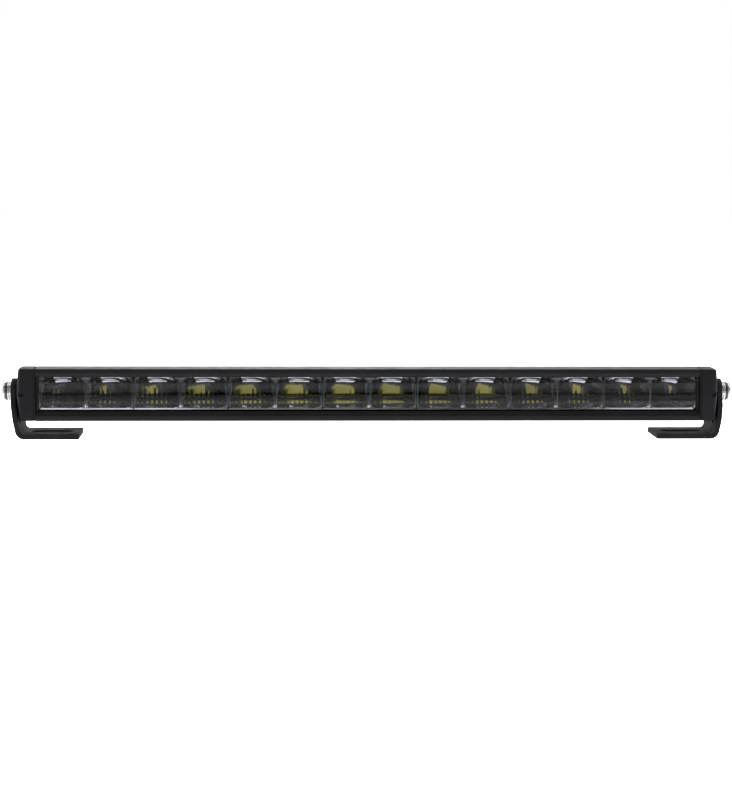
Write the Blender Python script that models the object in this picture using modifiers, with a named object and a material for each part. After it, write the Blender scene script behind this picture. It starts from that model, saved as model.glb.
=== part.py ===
"""LED light bar: a single row of fourteen reflector cells on two tilting feet.

Metres, +Z up. X runs along the bar, the light shines towards -Y, and the feet stand on Z = 0.
The origin is the bottom centre of the whole object's box. Cross-sections are drawn in "section"
coordinates: the depth behind the front plane, and the height above the middle of the body.
"""

import math

import bmesh
import bpy
from mathutils import Euler, Matrix, Vector

MM = 0.001
GAP = 0.3 * MM  # clearance between pieces that touch
PAST = 1 * MM  # how far a cutter starts outside what it cuts

# The whole object, and the axis that it tilts about.
OVERALL_DEPTH = 60 * MM
FRONT_Y = -OVERALL_DEPTH / 2
MIDDLE_Z = 34 * MM  # the body's mid-height above the feet
PIVOT_DEPTH = 21 * MM
PIVOT_HEIGHT = 1 * MM

# Housing extrusion.
HOUSING_HALF = 254.9 * MM
BODY_HALF_HEIGHT = 20 * MM
TOP_FLAT = 23 * MM
SHOULDER_END = (37 * MM, 15.5 * MM)
EDGE_RADIUS = 0.9 * MM
BEVEL_DEPTH = 2.2 * MM
TOP_RAIL = 3.5 * MM
WINDOW_TOP = 13.6 * MM
BOTTOM_RAIL = 4.0 * MM
WINDOW_BOTTOM = -12.6 * MM
LIP_DEPTH = 3.0 * MM
LENS_SLOT = (LIP_DEPTH, 7.7 * MM)
LENS_SLOT_TOP = 16.2 * MM
LENS_SLOT_BOTTOM = -15.2 * MM
RIB_BACK = 8.9 * MM
RIB_TOP = 14.2 * MM
RIB_BOTTOM = -13.4 * MM
CHAMBER_TOP = 16.7 * MM
CHAMBER_BOTTOM = -17 * MM
CHAMBER_STEP = (27.6 * MM, 14.6 * MM)
CHAMBER_BACK = 34.1 * MM
BOARD_RIB = (31.1 * MM, 31.9 * MM)
BOARD_RIB_HEIGHT = 2.2 * MM
BACK_WALL = SHOULDER_END[0]
FIN_COUNT = 7
FIN_PITCH = 4.8 * MM
FIN_ROOT_HALF = 1.1 * MM
FIN_TIP_HALF = 0.75 * MM
FIN_TIP_DEPTH = 52 * MM
FIN_TIP_BOW = 0.022 / MM  # how much shorter a fin is, over its height squared
GROOVES = (26.2 * MM, 29.4 * MM, 32.6 * MM)
GROOVE_WIDTH = 1.1 * MM
GROOVE_DEPTH = 0.7 * MM
FRONT_PORT = (11.8 * MM, 16.3 * MM)
REAR_PORT = (39.5 * MM, 11.5 * MM)
SCREW_PORTS = [(depth, sign * height) for depth, height in (FRONT_PORT, REAR_PORT) for sign in (1, -1)]
PORT_RADIUS = 2.4 * MM
PORT_HOLE = 1.6 * MM

# Milled pad on the back, for the cable gland and the breather vent.
PAD_X = (150 * MM, 214 * MM)
PAD_HALF_HEIGHT = 12 * MM
GLAND_X = 170 * MM
VENT_X = 200 * MM
GLAND_HOLE = 6.3 * MM
VENT_HOLE = 3.3 * MM

# Cable gland, along its own axis from the milled pad: (radius, height) profiles and hexagons.
GLAND_BORE = 3.2 * MM
GLAND_THREAD = 5.8 * MM
GLAND_INNER_END = -6.6 * MM
GLAND_OUTER_END = 12 * MM
GLAND_HEX_HALF = 8.2 * MM
GLAND_HEX_HEIGHT = 4 * MM
GLAND_NUT_RADIUS = 8.0 * MM
GLAND_NUT_BORE = 6.1 * MM
GLAND_NUT_MOUTH = 5.0 * MM
GLAND_NUT_TAPER = 5 * MM
GLAND_SEAL_RADIUS = 4.6 * MM
GLAND_SEAL_RIM = 5.3 * MM
LOCK_NUT_HALF = 7.5 * MM
LOCK_NUT_HEIGHT = 2.4 * MM
VENT_RADIUS = 5.2 * MM
VENT_HEIGHT = 3.6 * MM
VENT_SHANK = 3.0 * MM
VENT_SHANK_LENGTH = 2.6 * MM

# End caps, gaskets and their screws.
GASKET_THICKNESS = 0.8 * MM
GASKET_INSET = 0.5 * MM
GASKET_WINDOW = ((9.5 * MM, -12.6 * MM), (33.5 * MM, 12.6 * MM))
CAP_START = HOUSING_HALF + GAP + GASKET_THICKNESS + GAP
CAP_EDGE = 265.4 * MM
CAP_ROUNDING = 3.3 * MM
CAP_CORNER = 1.5 * MM
CAP_BACK_HEIGHT = 15.2 * MM
CAP_BACK_STATIONS = (9.6 * MM, 4.8 * MM, 0, -4.8 * MM, -9.6 * MM)
CAP_SHOULDER_RISE = 0.9 * MM
CAP_POCKET_DEPTH = 4 * MM
CAP_POCKETS = (
    ((16 * MM, 33.5 * MM), (8.8 * MM, 12.6 * MM)),
    ((16 * MM, 33.5 * MM), (-12.6 * MM, -8.8 * MM)),
    ((31.5 * MM, 33.5 * MM), (-7.8 * MM, 7.8 * MM)),
)
DIMPLE_X = 265.6 * MM
DIMPLE_PROFILE = ((0, 1.2 * MM), (2.6 * MM, 1.2 * MM), (2.2 * MM, -2.4 * MM), (0, -2.4 * MM))
RUN_OUT_DEPTH = -1.4 * MM
RUN_OUT_HEIGHT = 14.9 * MM
RUN_OUT_RADIUS = 2.4 * MM
RUN_OUT_LENGTH = 6 * MM
RUN_OUT_TURN = math.radians(18)
BOSS_X = 270.4 * MM
BOSS_RADIUS = 9.5 * MM
CAP_SLOPE_TOP = 0.15
CAP_SLOPE_BOTTOM = 0.24
CAP_LENGTH = BOSS_X - CAP_START
PIVOT_HOLE = 4.3 * MM
PIVOT_HOLE_END = 258.6 * MM
COUNTERBORE_X = 262.0 * MM
COUNTERBORE_RADIUS = 3.1 * MM
SCREW_CLEARANCE = 0.2 * MM
SCREW_SHANK = 1.3 * MM
SCREW_LENGTH = 16 * MM
SCREW_HEAD_RADIUS = 2.7 * MM
SCREW_HEAD_HEIGHT = 2.2 * MM
SCREW_SOCKET = 1.0 * MM
SCREW_SOCKET_DEPTH = 1.1 * MM

# Lens and seal.
SEAL_THICKNESS = 0.8 * MM
SEAL_SET_BACK = 0.4 * MM
SEAL_END = 2.2 * MM
LENS_END_GAP = 0.2 * MM

# Reflectors and light sources.
CELLS = 14
CELL_PITCH = 36.2 * MM
MODULE_GAP = 1.8 * MM
LED_DEPTH = 20.2 * MM
LED_PLANE = 12.4 * MM
REFLECTOR_FRONT = 9.2 * MM
FOCAL_LENGTH = 9.1 * MM
REFLECTOR_WALL = 1.2 * MM
SHELL_WALL = 1.5 * MM
BOWL_EDGE = 29 * MM
CELL_WALL = 0.9 * MM
SHARED = 0.2 * MM  # how far joined solids run into each other
FLOOR_HEIGHT = -10.9 * MM
LIP_BOTTOM = -12.7 * MM
LED_SIZE = 5.0 * MM
LED_WINDOW = 5.8 * MM
PHOSPHOR_SIZE = 3.6 * MM
PHOSPHOR_RISE = 0.25 * MM
PACKAGE_RECESS = 0.3 * MM
BOARD_THICKNESS = 1.6 * MM
LED_BOARD = (15.0 * MM, 27.2 * MM)
BOARD_END = 1 * MM
PAD_THICKNESS = 0.5 * MM
LED_BOARD_UNDERSIDE = CHAMBER_TOP - GAP - PAD_THICKNESS - GAP - BOARD_THICKNESS

# Driver board and the leads.
DRIVER_X = (-60 * MM, 110 * MM)
DRIVER_FRONT = BOARD_RIB[1] + GAP
INDUCTOR_X = (20 * MM, 32 * MM)
INDUCTOR_HEIGHTS = (-12 * MM, -1 * MM)
INDUCTOR_DEPTH = 5 * MM
INDUCTOR_BEVEL = 1.6 * MM
CAPACITOR_X = (0, 48 * MM)
CAPACITOR_HEIGHT = -8 * MM
CAPACITOR_RADIUS = 3.15 * MM
CAPACITOR_DEPTH = 5.4 * MM
LEAD_RADIUS = 0.55 * MM
LEAD_DEPTH = 24.5 * MM
SUPPLY_RADIUS = 1.6 * MM
SUPPLY_END_X = 100 * MM

# Brackets: a strip bent from 4 mm plate.
PLATE = 3.9 * MM
ARM_OUTER_X = 274.6 * MM
ARM_TOP_WIDTH = 20 * MM
ARM_KNEE_Z = 25.8 * MM
ARM_LEAN = math.radians(12)
KNEE_RADIUS = 10 * MM
HEEL_RADIUS = 5.05 * MM
SHOULDER_LOW = -19 * MM
SHOULDER_HIGH = -4 * MM
SHOULDER_RADIUS = 9 * MM
ALMOST = 0.999  # of a half-width, so that two rounded corners don't meet in a zero-length side
FOOT_INNER_X = 222 * MM
FOOT_DEPTH = 44 * MM
FOOT_CORNER = 2.5 * MM
SLOT_X = (228 * MM, 260 * MM)
SLOT_WIDTH = 10.4 * MM
SLOT_DEPTH = 21 * MM
ARM_BOLT_HOLE = 4.5 * MM
SIDE_HOLE_RADIUS = 4.0 * MM
SIDE_HOLE = (12.0 * MM, -19.8 * MM)

# Pivot hardware, from the arm outwards.
WASHER_RADIUS = 7.5 * MM
WASHER_HOLE = 4.3 * MM
WASHER_THICKNESS = 1.3 * MM
SPRING_RADIUS = 7.2 * MM
SPRING_THICKNESS = 1.6 * MM
SPRING_SPLIT = 1.0 * MM
STACK_GAP = 0.2 * MM
BOLT_RADIUS = 4.0 * MM
BOLT_HEAD_RADIUS = 6.8 * MM
BOLT_HEAD_HEIGHT = 3.2 * MM
BOLT_HEAD_FLAT = 3.4 * MM
BOLT_HEAD_RIM = 1.0 * MM
BOLT_SOCKET = 2.5 * MM
BOLT_SOCKET_DEPTH = 2.2 * MM
BOLT_END_X = 259.2 * MM

COLOURS = {
    "black_powder": ((0.022, 0.022, 0.025), 0.55, 0.0),
    "black_cast": ((0.025, 0.024, 0.028), 0.6, 0.0),
    "chrome": ((0.86, 0.86, 0.87), 0.08, 1.0),
    "clear": ((0.92, 0.94, 0.95), 0.03, 0.0),
    "rubber": ((0.02, 0.02, 0.02), 0.8, 0.0),
    "pad_grey": ((0.45, 0.47, 0.5), 0.9, 0.0),
    "board_black": ((0.06, 0.06, 0.065), 0.5, 0.0),
    "board_green": ((0.03, 0.16, 0.07), 0.45, 0.0),
    "phosphor": ((0.85, 0.68, 0.12), 0.4, 0.0),
    "ferrite": ((0.06, 0.06, 0.06), 0.6, 0.0),
    "capacitor": ((0.55, 0.56, 0.58), 0.3, 1.0),
    "wire_red": ((0.45, 0.02, 0.02), 0.5, 0.0),
    "wire_black": ((0.02, 0.02, 0.02), 0.5, 0.0),
    "nylon": ((0.03, 0.03, 0.03), 0.45, 0.0),
    "stainless": ((0.7, 0.7, 0.7), 0.22, 1.0),
    "dark_steel": ((0.09, 0.09, 0.1), 0.4, 1.0),
}

ALONG_X = Euler((math.pi / 2, 0, math.pi / 2))  # drawing x, y and depth become Y, Z and X
ALONG_Y = Euler((math.pi / 2, 0, 0))  # drawing x, y and depth become X, Z and -Y
POINT_RIGHT = Euler((0, math.pi / 2, 0))  # a turned piece's axis points to +X
POINT_LEFT = Euler((0, -math.pi / 2, 0))
POINT_BACK = Euler((-math.pi / 2, 0, 0))


def clear_scene():
    for obj in list(bpy.data.objects):
        bpy.data.objects.remove(obj, do_unlink=True)


def collection(name):
    made = bpy.data.collections.new(name)
    bpy.context.scene.collection.children.link(made)
    return made


def make_material(name):
    colour, roughness, metallic = COLOURS[name]
    material = bpy.data.materials.new(name)
    material.use_nodes = True
    shader = material.node_tree.nodes["Principled BSDF"]
    shader.inputs["Base Color"].default_value = (*colour, 1)
    shader.inputs["Roughness"].default_value = roughness
    shader.inputs["Metallic"].default_value = metallic
    material.diffuse_color = (*colour, 1)
    return material


def shade_round(mesh):
    mesh.shade_smooth()
    mesh.set_sharp_from_angle(angle=math.radians(35))


def keep(obj, name, material):
    """Make this object the sub-part of that name."""
    obj.name = name
    obj.data.name = name
    obj.data.materials.clear()
    obj.data.materials.append(MATERIALS[material])
    shade_round(obj.data)
    for user in list(obj.users_collection):
        user.objects.unlink(obj)
    PARTS.objects.link(obj)
    return obj


def as_tool(obj):
    """Make this object a helper that other objects are cut by or joined with."""
    for user in list(obj.users_collection):
        user.objects.unlink(obj)
    TOOLS.objects.link(obj)
    obj.hide_render = True
    obj.display_type = "WIRE"
    return obj


def combine(target, tool, operation):
    modifier = target.modifiers.new(operation.lower(), "BOOLEAN")
    modifier.operation = operation
    modifier.solver = "EXACT"
    modifier.object = as_tool(tool)
    return target


def baked(obj):
    """The object again, with its modifiers applied, so that its mesh can be shared."""
    graph = bpy.context.evaluated_depsgraph_get()
    mesh = bpy.data.meshes.new_from_object(obj.evaluated_get(graph))
    obj.modifiers.clear()
    obj.data = mesh
    return obj


def section(depth, height, x=0.0):
    """The world place of a point: its depth behind the front plane, and height above the body's middle."""
    return Vector((x, FRONT_Y + depth, MIDDLE_Z + height))


def pivot_at(x):
    return section(PIVOT_DEPTH, PIVOT_HEIGHT, x)


def fillet(corners, steps=5):
    """The outline through these (x, y, radius) corners, with each corner rounded by its radius."""
    outline = []
    for index, (x, y, radius) in enumerate(corners):
        corner = Vector((x, y))
        if radius == 0:
            outline.append(corner)
            continue
        before = (Vector(corners[index - 1][:2]) - corner).normalized()
        after = (Vector(corners[(index + 1) % len(corners)][:2]) - corner).normalized()
        half = before.angle(after) / 2
        centre = corner + (before + after).normalized() * radius / math.sin(half)
        start = corner + before * radius / math.tan(half)
        end = corner + after * radius / math.tan(half)
        sweep = (start - centre).angle_signed(end - centre)
        for step in range(steps + 1):
            turn = Matrix.Rotation(-sweep * step / steps, 2)
            outline.append(centre + turn @ (start - centre))
    return outline


def circle(centre, radius, steps):
    turns = [math.tau * step / steps for step in range(steps)]
    return [Vector((centre[0] + radius * math.cos(t), centre[1] + radius * math.sin(t))) for t in turns]


def rectangle(low, high):
    return [Vector(low), Vector((high[0], low[1])), Vector(high), Vector((low[0], high[1]))]


def extruded(outlines, thickness, rotation, location):
    """A mesh object: these flat outlines, holes included, extruded about their own plane."""
    curve = bpy.data.curves.new("outline", "CURVE")
    curve.dimensions = "2D"
    curve.fill_mode = "BOTH"
    curve.extrude = thickness / 2
    for outline in outlines:
        spline = curve.splines.new("POLY")
        spline.points.add(len(outline) - 1)
        spline.use_cyclic_u = True
        for point, place in zip(spline.points, outline):
            point.co = (place.x, place.y, 0, 1)
    drawn = bpy.data.objects.new("outline", curve)
    drawn.rotation_euler = rotation
    drawn.location = location
    return meshed(drawn)


def meshed(drawn):
    """The mesh object of a curve object, with its caps welded. The curve is removed."""
    bpy.context.scene.collection.objects.link(drawn)
    graph = bpy.context.evaluated_depsgraph_get()
    mesh = bpy.data.meshes.new_from_object(drawn.evaluated_get(graph))
    weld = bmesh.new()
    weld.from_mesh(mesh)
    bmesh.ops.remove_doubles(weld, verts=weld.verts, dist=0.001 * MM)
    bmesh.ops.recalc_face_normals(weld, faces=weld.faces)
    weld.to_mesh(mesh)
    weld.free()
    made = bpy.data.objects.new(drawn.name, mesh)
    made.matrix_world = drawn.matrix_world
    bpy.context.scene.collection.objects.link(made)
    bpy.data.objects.remove(drawn, do_unlink=True)
    return made


def box(low, high, centre=None):
    """A box between two world corners, with its origin at its centre or at the given point."""
    low, high = Vector(low), Vector(high)
    origin = (low + high) / 2 if centre is None else Vector(centre)
    cube = bmesh.new()
    bmesh.ops.create_cube(cube, size=1)
    bmesh.ops.scale(cube, vec=high - low, verts=cube.verts)
    bmesh.ops.translate(cube, vec=(low + high) / 2 - origin, verts=cube.verts)
    mesh = bpy.data.meshes.new("box")
    cube.to_mesh(mesh)
    cube.free()
    made = bpy.data.objects.new("box", mesh)
    made.location = origin
    bpy.context.scene.collection.objects.link(made)
    return made


def section_box(x_range, depths, heights):
    return box(section(depths[0], heights[0], x_range[0]), section(depths[1], heights[1], x_range[1]))


def turned(profile, steps, rotation, location, closed=False):
    """A turned piece: (radius, height) points down the outer side, spun about the height axis."""
    mesh = bpy.data.meshes.new("profile")
    points = [(radius, 0, height) for radius, height in profile]
    edges = [(index, index + 1) for index in range(len(points) - 1)]
    if closed:
        edges.append((len(points) - 1, 0))
    mesh.from_pydata(points, edges, [])
    made = bpy.data.objects.new("turned", mesh)
    made.rotation_euler = rotation
    made.location = location
    bpy.context.scene.collection.objects.link(made)
    screw = made.modifiers.new("screw", "SCREW")
    screw.steps = steps
    screw.render_steps = steps
    screw.use_merge_vertices = True
    screw.merge_threshold = 0.001 * MM
    screw.use_normal_calculate = False
    bpy.context.view_layer.update()
    return baked(made)


def cylinder(radius, length, steps, rotation, location):
    """A cylinder from its location along the turned axis."""
    return turned([(0, length), (radius, length), (radius, 0), (0, 0)], steps, rotation, location)


def ring(inner, outer, thickness, steps, rotation, location):
    profile = [(inner, thickness), (outer, thickness), (outer, 0), (inner, 0)]
    return turned(profile, steps, rotation, location, closed=True)


def wire(points, radius):
    """A round lead through these points, as a smooth curve read at even steps."""
    guide = [Vector(point) for point in points]
    curve = bpy.data.curves.new("wire", "CURVE")
    curve.dimensions = "3D"
    curve.bevel_depth = radius
    curve.bevel_resolution = 1
    curve.use_fill_caps = True
    route = rounded_route(guide, 2 * radius)
    spline = curve.splines.new("POLY")
    spline.points.add(len(route) - 1)
    for point, place in zip(spline.points, route):
        point.co = (*place, 1)
    return meshed(bpy.data.objects.new("wire", curve))


def rounded_route(guide, bend):
    """The guide's points, with each inner corner replaced by a quadratic bend."""
    route = [guide[0]]
    for before, corner, after in zip(guide, guide[1:], guide[2:]):
        start = corner + (before - corner).normalized() * bend
        end = corner + (after - corner).normalized() * bend
        for step in range(5):
            t = step / 4
            route.append(start.lerp(corner, t).lerp(corner.lerp(end, t), t))
    return route + [guide[-1]]


def shoulder_height(depth):
    """Height of the sloping shoulder behind the top flat, at this depth."""
    share = (depth - TOP_FLAT) / (SHOULDER_END[0] - TOP_FLAT)
    return BODY_HALF_HEIGHT + share * (SHOULDER_END[1] - BODY_HALF_HEIGHT)


def shoulder_points():
    """The upper shoulder from the flat to the back wall, with its shallow cooling grooves."""
    points = [(TOP_FLAT, BODY_HALF_HEIGHT)]
    for depth in GROOVES:
        start, end = depth - GROOVE_WIDTH / 2, depth + GROOVE_WIDTH / 2
        points.append((start, shoulder_height(start)))
        points.append((start, shoulder_height(start) - GROOVE_DEPTH))
        points.append((end, shoulder_height(end) - GROOVE_DEPTH))
        points.append((end, shoulder_height(end)))
    return points


def fin_tip_depth(height):
    return FIN_TIP_DEPTH - FIN_TIP_BOW * height * height


def fin_points():
    """The finned back, from the top fin down to the bottom one."""
    points = []
    for index in range(FIN_COUNT):
        height = (FIN_COUNT // 2 - index) * FIN_PITCH
        tip = fin_tip_depth(height)
        points.append((BACK_WALL, height + FIN_ROOT_HALF))
        points.append((tip, height + FIN_TIP_HALF))
        points.append((tip, height - FIN_TIP_HALF))
        points.append((BACK_WALL, height - FIN_ROOT_HALF))
    return points


def mirrored(points):
    return [(depth, -height) for depth, height in reversed(points)]


def housing_outline():
    """The extrusion's outline: up the top rail, over the back, and back to the window through the chamber."""
    rail_top = BODY_HALF_HEIGHT - TOP_RAIL
    rail_bottom = -BODY_HALF_HEIGHT + BOTTOM_RAIL
    outer = [(0, BODY_HALF_HEIGHT - EDGE_RADIUS), (EDGE_RADIUS, BODY_HALF_HEIGHT)]
    points = [(LIP_DEPTH, WINDOW_TOP), (BEVEL_DEPTH, WINDOW_TOP), (0, rail_top)]
    points += outer + shoulder_points() + fin_points() + mirrored(shoulder_points()) + mirrored(outer)
    points += [(0, rail_bottom), (BEVEL_DEPTH, WINDOW_BOTTOM), (LIP_DEPTH, WINDOW_BOTTOM)]
    points += [(LENS_SLOT[0], LENS_SLOT_BOTTOM), (LENS_SLOT[1], LENS_SLOT_BOTTOM)]
    points += [(LENS_SLOT[1], RIB_BOTTOM), (RIB_BACK, RIB_BOTTOM), (RIB_BACK, CHAMBER_BOTTOM)]
    lower_step = [(CHAMBER_STEP[0], CHAMBER_BOTTOM), (CHAMBER_STEP[0], -CHAMBER_STEP[1])]
    upper_step = [(CHAMBER_STEP[0], CHAMBER_STEP[1]), (CHAMBER_STEP[0], CHAMBER_TOP)]
    points += lower_step + board_rib(-CHAMBER_STEP[1], BOARD_RIB_HEIGHT)
    points += [(CHAMBER_BACK, -CHAMBER_STEP[1]), (CHAMBER_BACK, CHAMBER_STEP[1])]
    points += list(reversed(board_rib(CHAMBER_STEP[1], -BOARD_RIB_HEIGHT))) + upper_step
    points += [(RIB_BACK, CHAMBER_TOP), (RIB_BACK, RIB_TOP), (LENS_SLOT[1], RIB_TOP)]
    points += [(LENS_SLOT[1], LENS_SLOT_TOP), (LENS_SLOT[0], LENS_SLOT_TOP)]
    return [Vector(point) for point in points]


def board_rib(base, height):
    """A rib in the chamber that keeps the driver board against the back wall."""
    front, back = BOARD_RIB
    return [(front, base), (front, base + height), (back, base + height), (back, base)]


def make_housing():
    body = extruded([housing_outline()], 2 * HOUSING_HALF, ALONG_X, section(0, 0))
    for depth, height in SCREW_PORTS:
        start = section(depth, height, -HOUSING_HALF)
        combine(body, cylinder(PORT_RADIUS, 2 * HOUSING_HALF, 12, POINT_RIGHT, start), "UNION")
    for depth, height in SCREW_PORTS:
        start = section(depth, height, -HOUSING_HALF - 1 * MM)
        hole = cylinder(PORT_HOLE, 2 * HOUSING_HALF + 2 * MM, 10, POINT_RIGHT, start)
        combine(body, hole, "DIFFERENCE")
    pad = section_box(PAD_X, (BACK_WALL, FIN_TIP_DEPTH + 1 * MM), (-PAD_HALF_HEIGHT, PAD_HALF_HEIGHT))
    combine(body, pad, "DIFFERENCE")
    for x, radius in ((GLAND_X, GLAND_HOLE), (VENT_X, VENT_HOLE)):
        hole = cylinder(radius, 6 * MM, 16, POINT_BACK, section(CHAMBER_BACK - 1 * MM, 0, x))
        combine(body, hole, "DIFFERENCE")
    return keep(baked(body), "housing", "black_powder")


def body_outline(inset=0.0):
    """The outer outline of the housing's section without grooves or fins, as the end caps have it."""
    half = BODY_HALF_HEIGHT - inset
    top_fin = FIN_COUNT // 2 * FIN_PITCH
    upper = [(TOP_FLAT, half, 0), (SHOULDER_END[0], SHOULDER_END[1] + CAP_SHOULDER_RISE - inset, 0)]
    upper.append((fin_tip_depth(top_fin) - inset, CAP_BACK_HEIGHT - inset, 0))
    back = [(fin_tip_depth(height) - inset, height, 0) for height in CAP_BACK_STATIONS]
    lower = [(x, -y, r) for x, y, r in reversed(upper)]
    front = [(inset, -half, CAP_CORNER), (inset, half, CAP_CORNER)]
    return fillet(front + upper + back + lower, steps=2)


def subdivided(outline, longest):
    """The same closed outline with extra points, so that no side is over the longest length."""
    points = []
    for index, start in enumerate(outline):
        end = outline[(index + 1) % len(outline)]
        parts = math.ceil((end - start).length / longest)
        points += [start.lerp(end, part / parts) for part in range(parts)]
    return points


def cap_slope(direction):
    """How fast a cap's outer face falls away from its boss. The arm never swings over the shallow top."""
    share = max(0, direction.y)
    return CAP_SLOPE_BOTTOM + share * (CAP_SLOPE_TOP - CAP_SLOPE_BOTTOM)


def cap_sections():
    """The end cap's rings of points from its open side, over its rounded edge and boss, into the pivot hole.

    A ring holds (depth, height, x) for each direction around the pivot axis."""
    axis = Vector((PIVOT_DEPTH, PIVOT_HEIGHT))
    outline = subdivided(body_outline(), 6.5 * MM)
    directions = [(point - axis).normalized() for point in outline]
    reaches = [(point - axis).length for point in outline]

    def ring_of(radii, places):
        return [(*(axis + d * r), x) for d, r, x in zip(directions, radii, places)]

    rings = [ring_of(reaches, [CAP_START] * len(outline)), ring_of(reaches, [CAP_EDGE] * len(outline))]
    shelf = [BOSS_X - (r - CAP_ROUNDING - BOSS_RADIUS) * cap_slope(d) for r, d in zip(reaches, directions)]
    for turn in (45, 90):
        inward = CAP_ROUNDING * (1 - math.cos(math.radians(turn)))
        rise = math.sin(math.radians(turn))
        places = [CAP_EDGE + (top - CAP_EDGE) * rise for top in shelf]
        rings.append(ring_of([r - inward for r in reaches], places))
    rings.append(ring_of([BOSS_RADIUS] * len(outline), [BOSS_X] * len(outline)))
    rings.append(ring_of([PIVOT_HOLE] * len(outline), [BOSS_X] * len(outline)))
    rings.append(ring_of([PIVOT_HOLE] * len(outline), [PIVOT_HOLE_END] * len(outline)))
    return rings


def lofted(rings, side):
    """A closed solid through rings of section points. Side mirrors it to the left end with -1."""
    solid = bmesh.new()
    rows = [[solid.verts.new((side * x, depth, height)) for depth, height, x in ring_] for ring_ in rings]
    count = len(rows[0])
    for row, after in zip(rows, rows[1:]):
        for index in range(count):
            following = (index + 1) % count
            solid.faces.new((row[index], row[following], after[following], after[index]))
    solid.faces.new(rows[0])
    solid.faces.new(rows[-1])
    bmesh.ops.recalc_face_normals(solid, faces=solid.faces)
    mesh = bpy.data.meshes.new("loft")
    solid.to_mesh(mesh)
    solid.free()
    made = bpy.data.objects.new("loft", mesh)
    made.location = section(0, 0)
    bpy.context.scene.collection.objects.link(made)
    return made


def side_box(side, xs, depths, heights):
    """A section box on the right end, or mirrored to the left end."""
    return section_box(sorted((side * xs[0], side * xs[1])), depths, heights)


def outwards(side):
    return POINT_RIGHT if side > 0 else POINT_LEFT


def make_end_cap(side, name):
    cap = lofted(cap_sections(), side)
    for depth, height in SCREW_PORTS:
        start = section(depth, height, side * (CAP_START - PAST))
        hole = cylinder(PORT_HOLE + SCREW_CLEARANCE, CAP_LENGTH, 8, outwards(side), start)
        combine(cap, hole, "DIFFERENCE")
        seat = section(depth, height, side * COUNTERBORE_X)
        combine(cap, cylinder(COUNTERBORE_RADIUS, CAP_LENGTH, 12, outwards(side), seat), "DIFFERENCE")
    for depths, heights in CAP_POCKETS:
        pocket_x = (CAP_START - PAST, CAP_START + CAP_POCKET_DEPTH)
        combine(cap, side_box(side, pocket_x, depths, heights), "DIFFERENCE")
    combine(cap, bevel_run_out(side), "DIFFERENCE")
    dimple = turned(DIMPLE_PROFILE, 12, ALONG_Y, section(0, PIVOT_HEIGHT, side * DIMPLE_X))
    combine(cap, dimple, "DIFFERENCE")
    keep(baked(cap), name, "black_cast")


def bevel_run_out(side):
    """A short scoop where the window's top bevel runs out into the cap."""
    start = section(RUN_OUT_DEPTH, RUN_OUT_HEIGHT, side * (CAP_START - 2 * PAST))
    tool = cylinder(RUN_OUT_RADIUS, RUN_OUT_LENGTH, 16, outwards(side), start)
    turn = Matrix.Rotation(side * RUN_OUT_TURN, 3, "Z") @ outwards(side).to_matrix()
    tool.rotation_euler = turn.to_euler()
    return tool


def make_gasket(side, name):
    (front, low), (back, high) = GASKET_WINDOW
    corners = [(front, low), (front, high), (back, high), (back, low)]
    window = fillet([(*corner, CAP_CORNER) for corner in corners], steps=3)
    holes = [circle(port, PORT_HOLE + SCREW_CLEARANCE, 8) for port in SCREW_PORTS]
    middle = side * (HOUSING_HALF + GAP + GASKET_THICKNESS / 2)
    outlines = [body_outline(GASKET_INSET), window] + holes
    keep(extruded(outlines, GASKET_THICKNESS, ALONG_X, section(0, 0, middle)), name, "rubber")


def make_cap_screws(side, word):
    profile = [(0, SCREW_HEAD_HEIGHT), (SCREW_HEAD_RADIUS * 2 / 3, SCREW_HEAD_HEIGHT)]
    profile += [(SCREW_HEAD_RADIUS, SCREW_HEAD_HEIGHT / 2), (SCREW_HEAD_RADIUS, 0), (SCREW_SHANK, 0)]
    profile += [(SCREW_SHANK, -SCREW_LENGTH), (0, -SCREW_LENGTH)]
    pattern = turned(profile, 8, outwards(side), (0, 0, 0))
    floor = side * Vector((SCREW_HEAD_HEIGHT - SCREW_SOCKET_DEPTH, 0, 0))
    combine(pattern, prism(SCREW_SOCKET, SCREW_HEAD_HEIGHT, outwards(side), floor), "DIFFERENCE")
    pattern = baked(pattern)
    for index, (depth, height) in enumerate(SCREW_PORTS):
        screw = pattern if index == 0 else pattern.copy()
        if index:
            bpy.context.scene.collection.objects.link(screw)
        screw.location = section(depth, height, side * (COUNTERBORE_X + GAP))
        keep(screw, f"end_cap_screw_{word}_{index + 1}", "stainless")


def prism(half_width, length, rotation, location):
    """A hexagonal prism along the turned axis, as a socket or a nut has it."""
    radius = half_width / math.cos(math.pi / 6)
    return cylinder(radius, length, 6, rotation, location)


def make_lens():
    depths = (LENS_SLOT[0] + 2 * GAP + SEAL_THICKNESS, LENS_SLOT[1] - GAP)
    heights = (LENS_SLOT_BOTTOM + GAP, LENS_SLOT_TOP - GAP)
    half = HOUSING_HALF - LENS_END_GAP
    keep(section_box((-half, half), depths, heights), "front_lens", "clear")


def make_lens_seal():
    half = HOUSING_HALF - LENS_END_GAP
    inner_half = half - SEAL_END
    outer = rectangle((-half, LENS_SLOT_BOTTOM + GAP), (half, LENS_SLOT_TOP - GAP))
    inner = rectangle((-inner_half, WINDOW_BOTTOM - SEAL_SET_BACK), (inner_half, WINDOW_TOP + SEAL_SET_BACK))
    depth = LENS_SLOT[0] + GAP + SEAL_THICKNESS / 2
    keep(extruded([outer, inner], SEAL_THICKNESS, ALONG_Y, section(depth, 0)), "lens_seal", "rubber")


def parabola(radius):
    """Depth behind the focus of the reflector's bowl at this distance from its axis."""
    return FOCAL_LENGTH - radius * radius / (4 * FOCAL_LENGTH)


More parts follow.
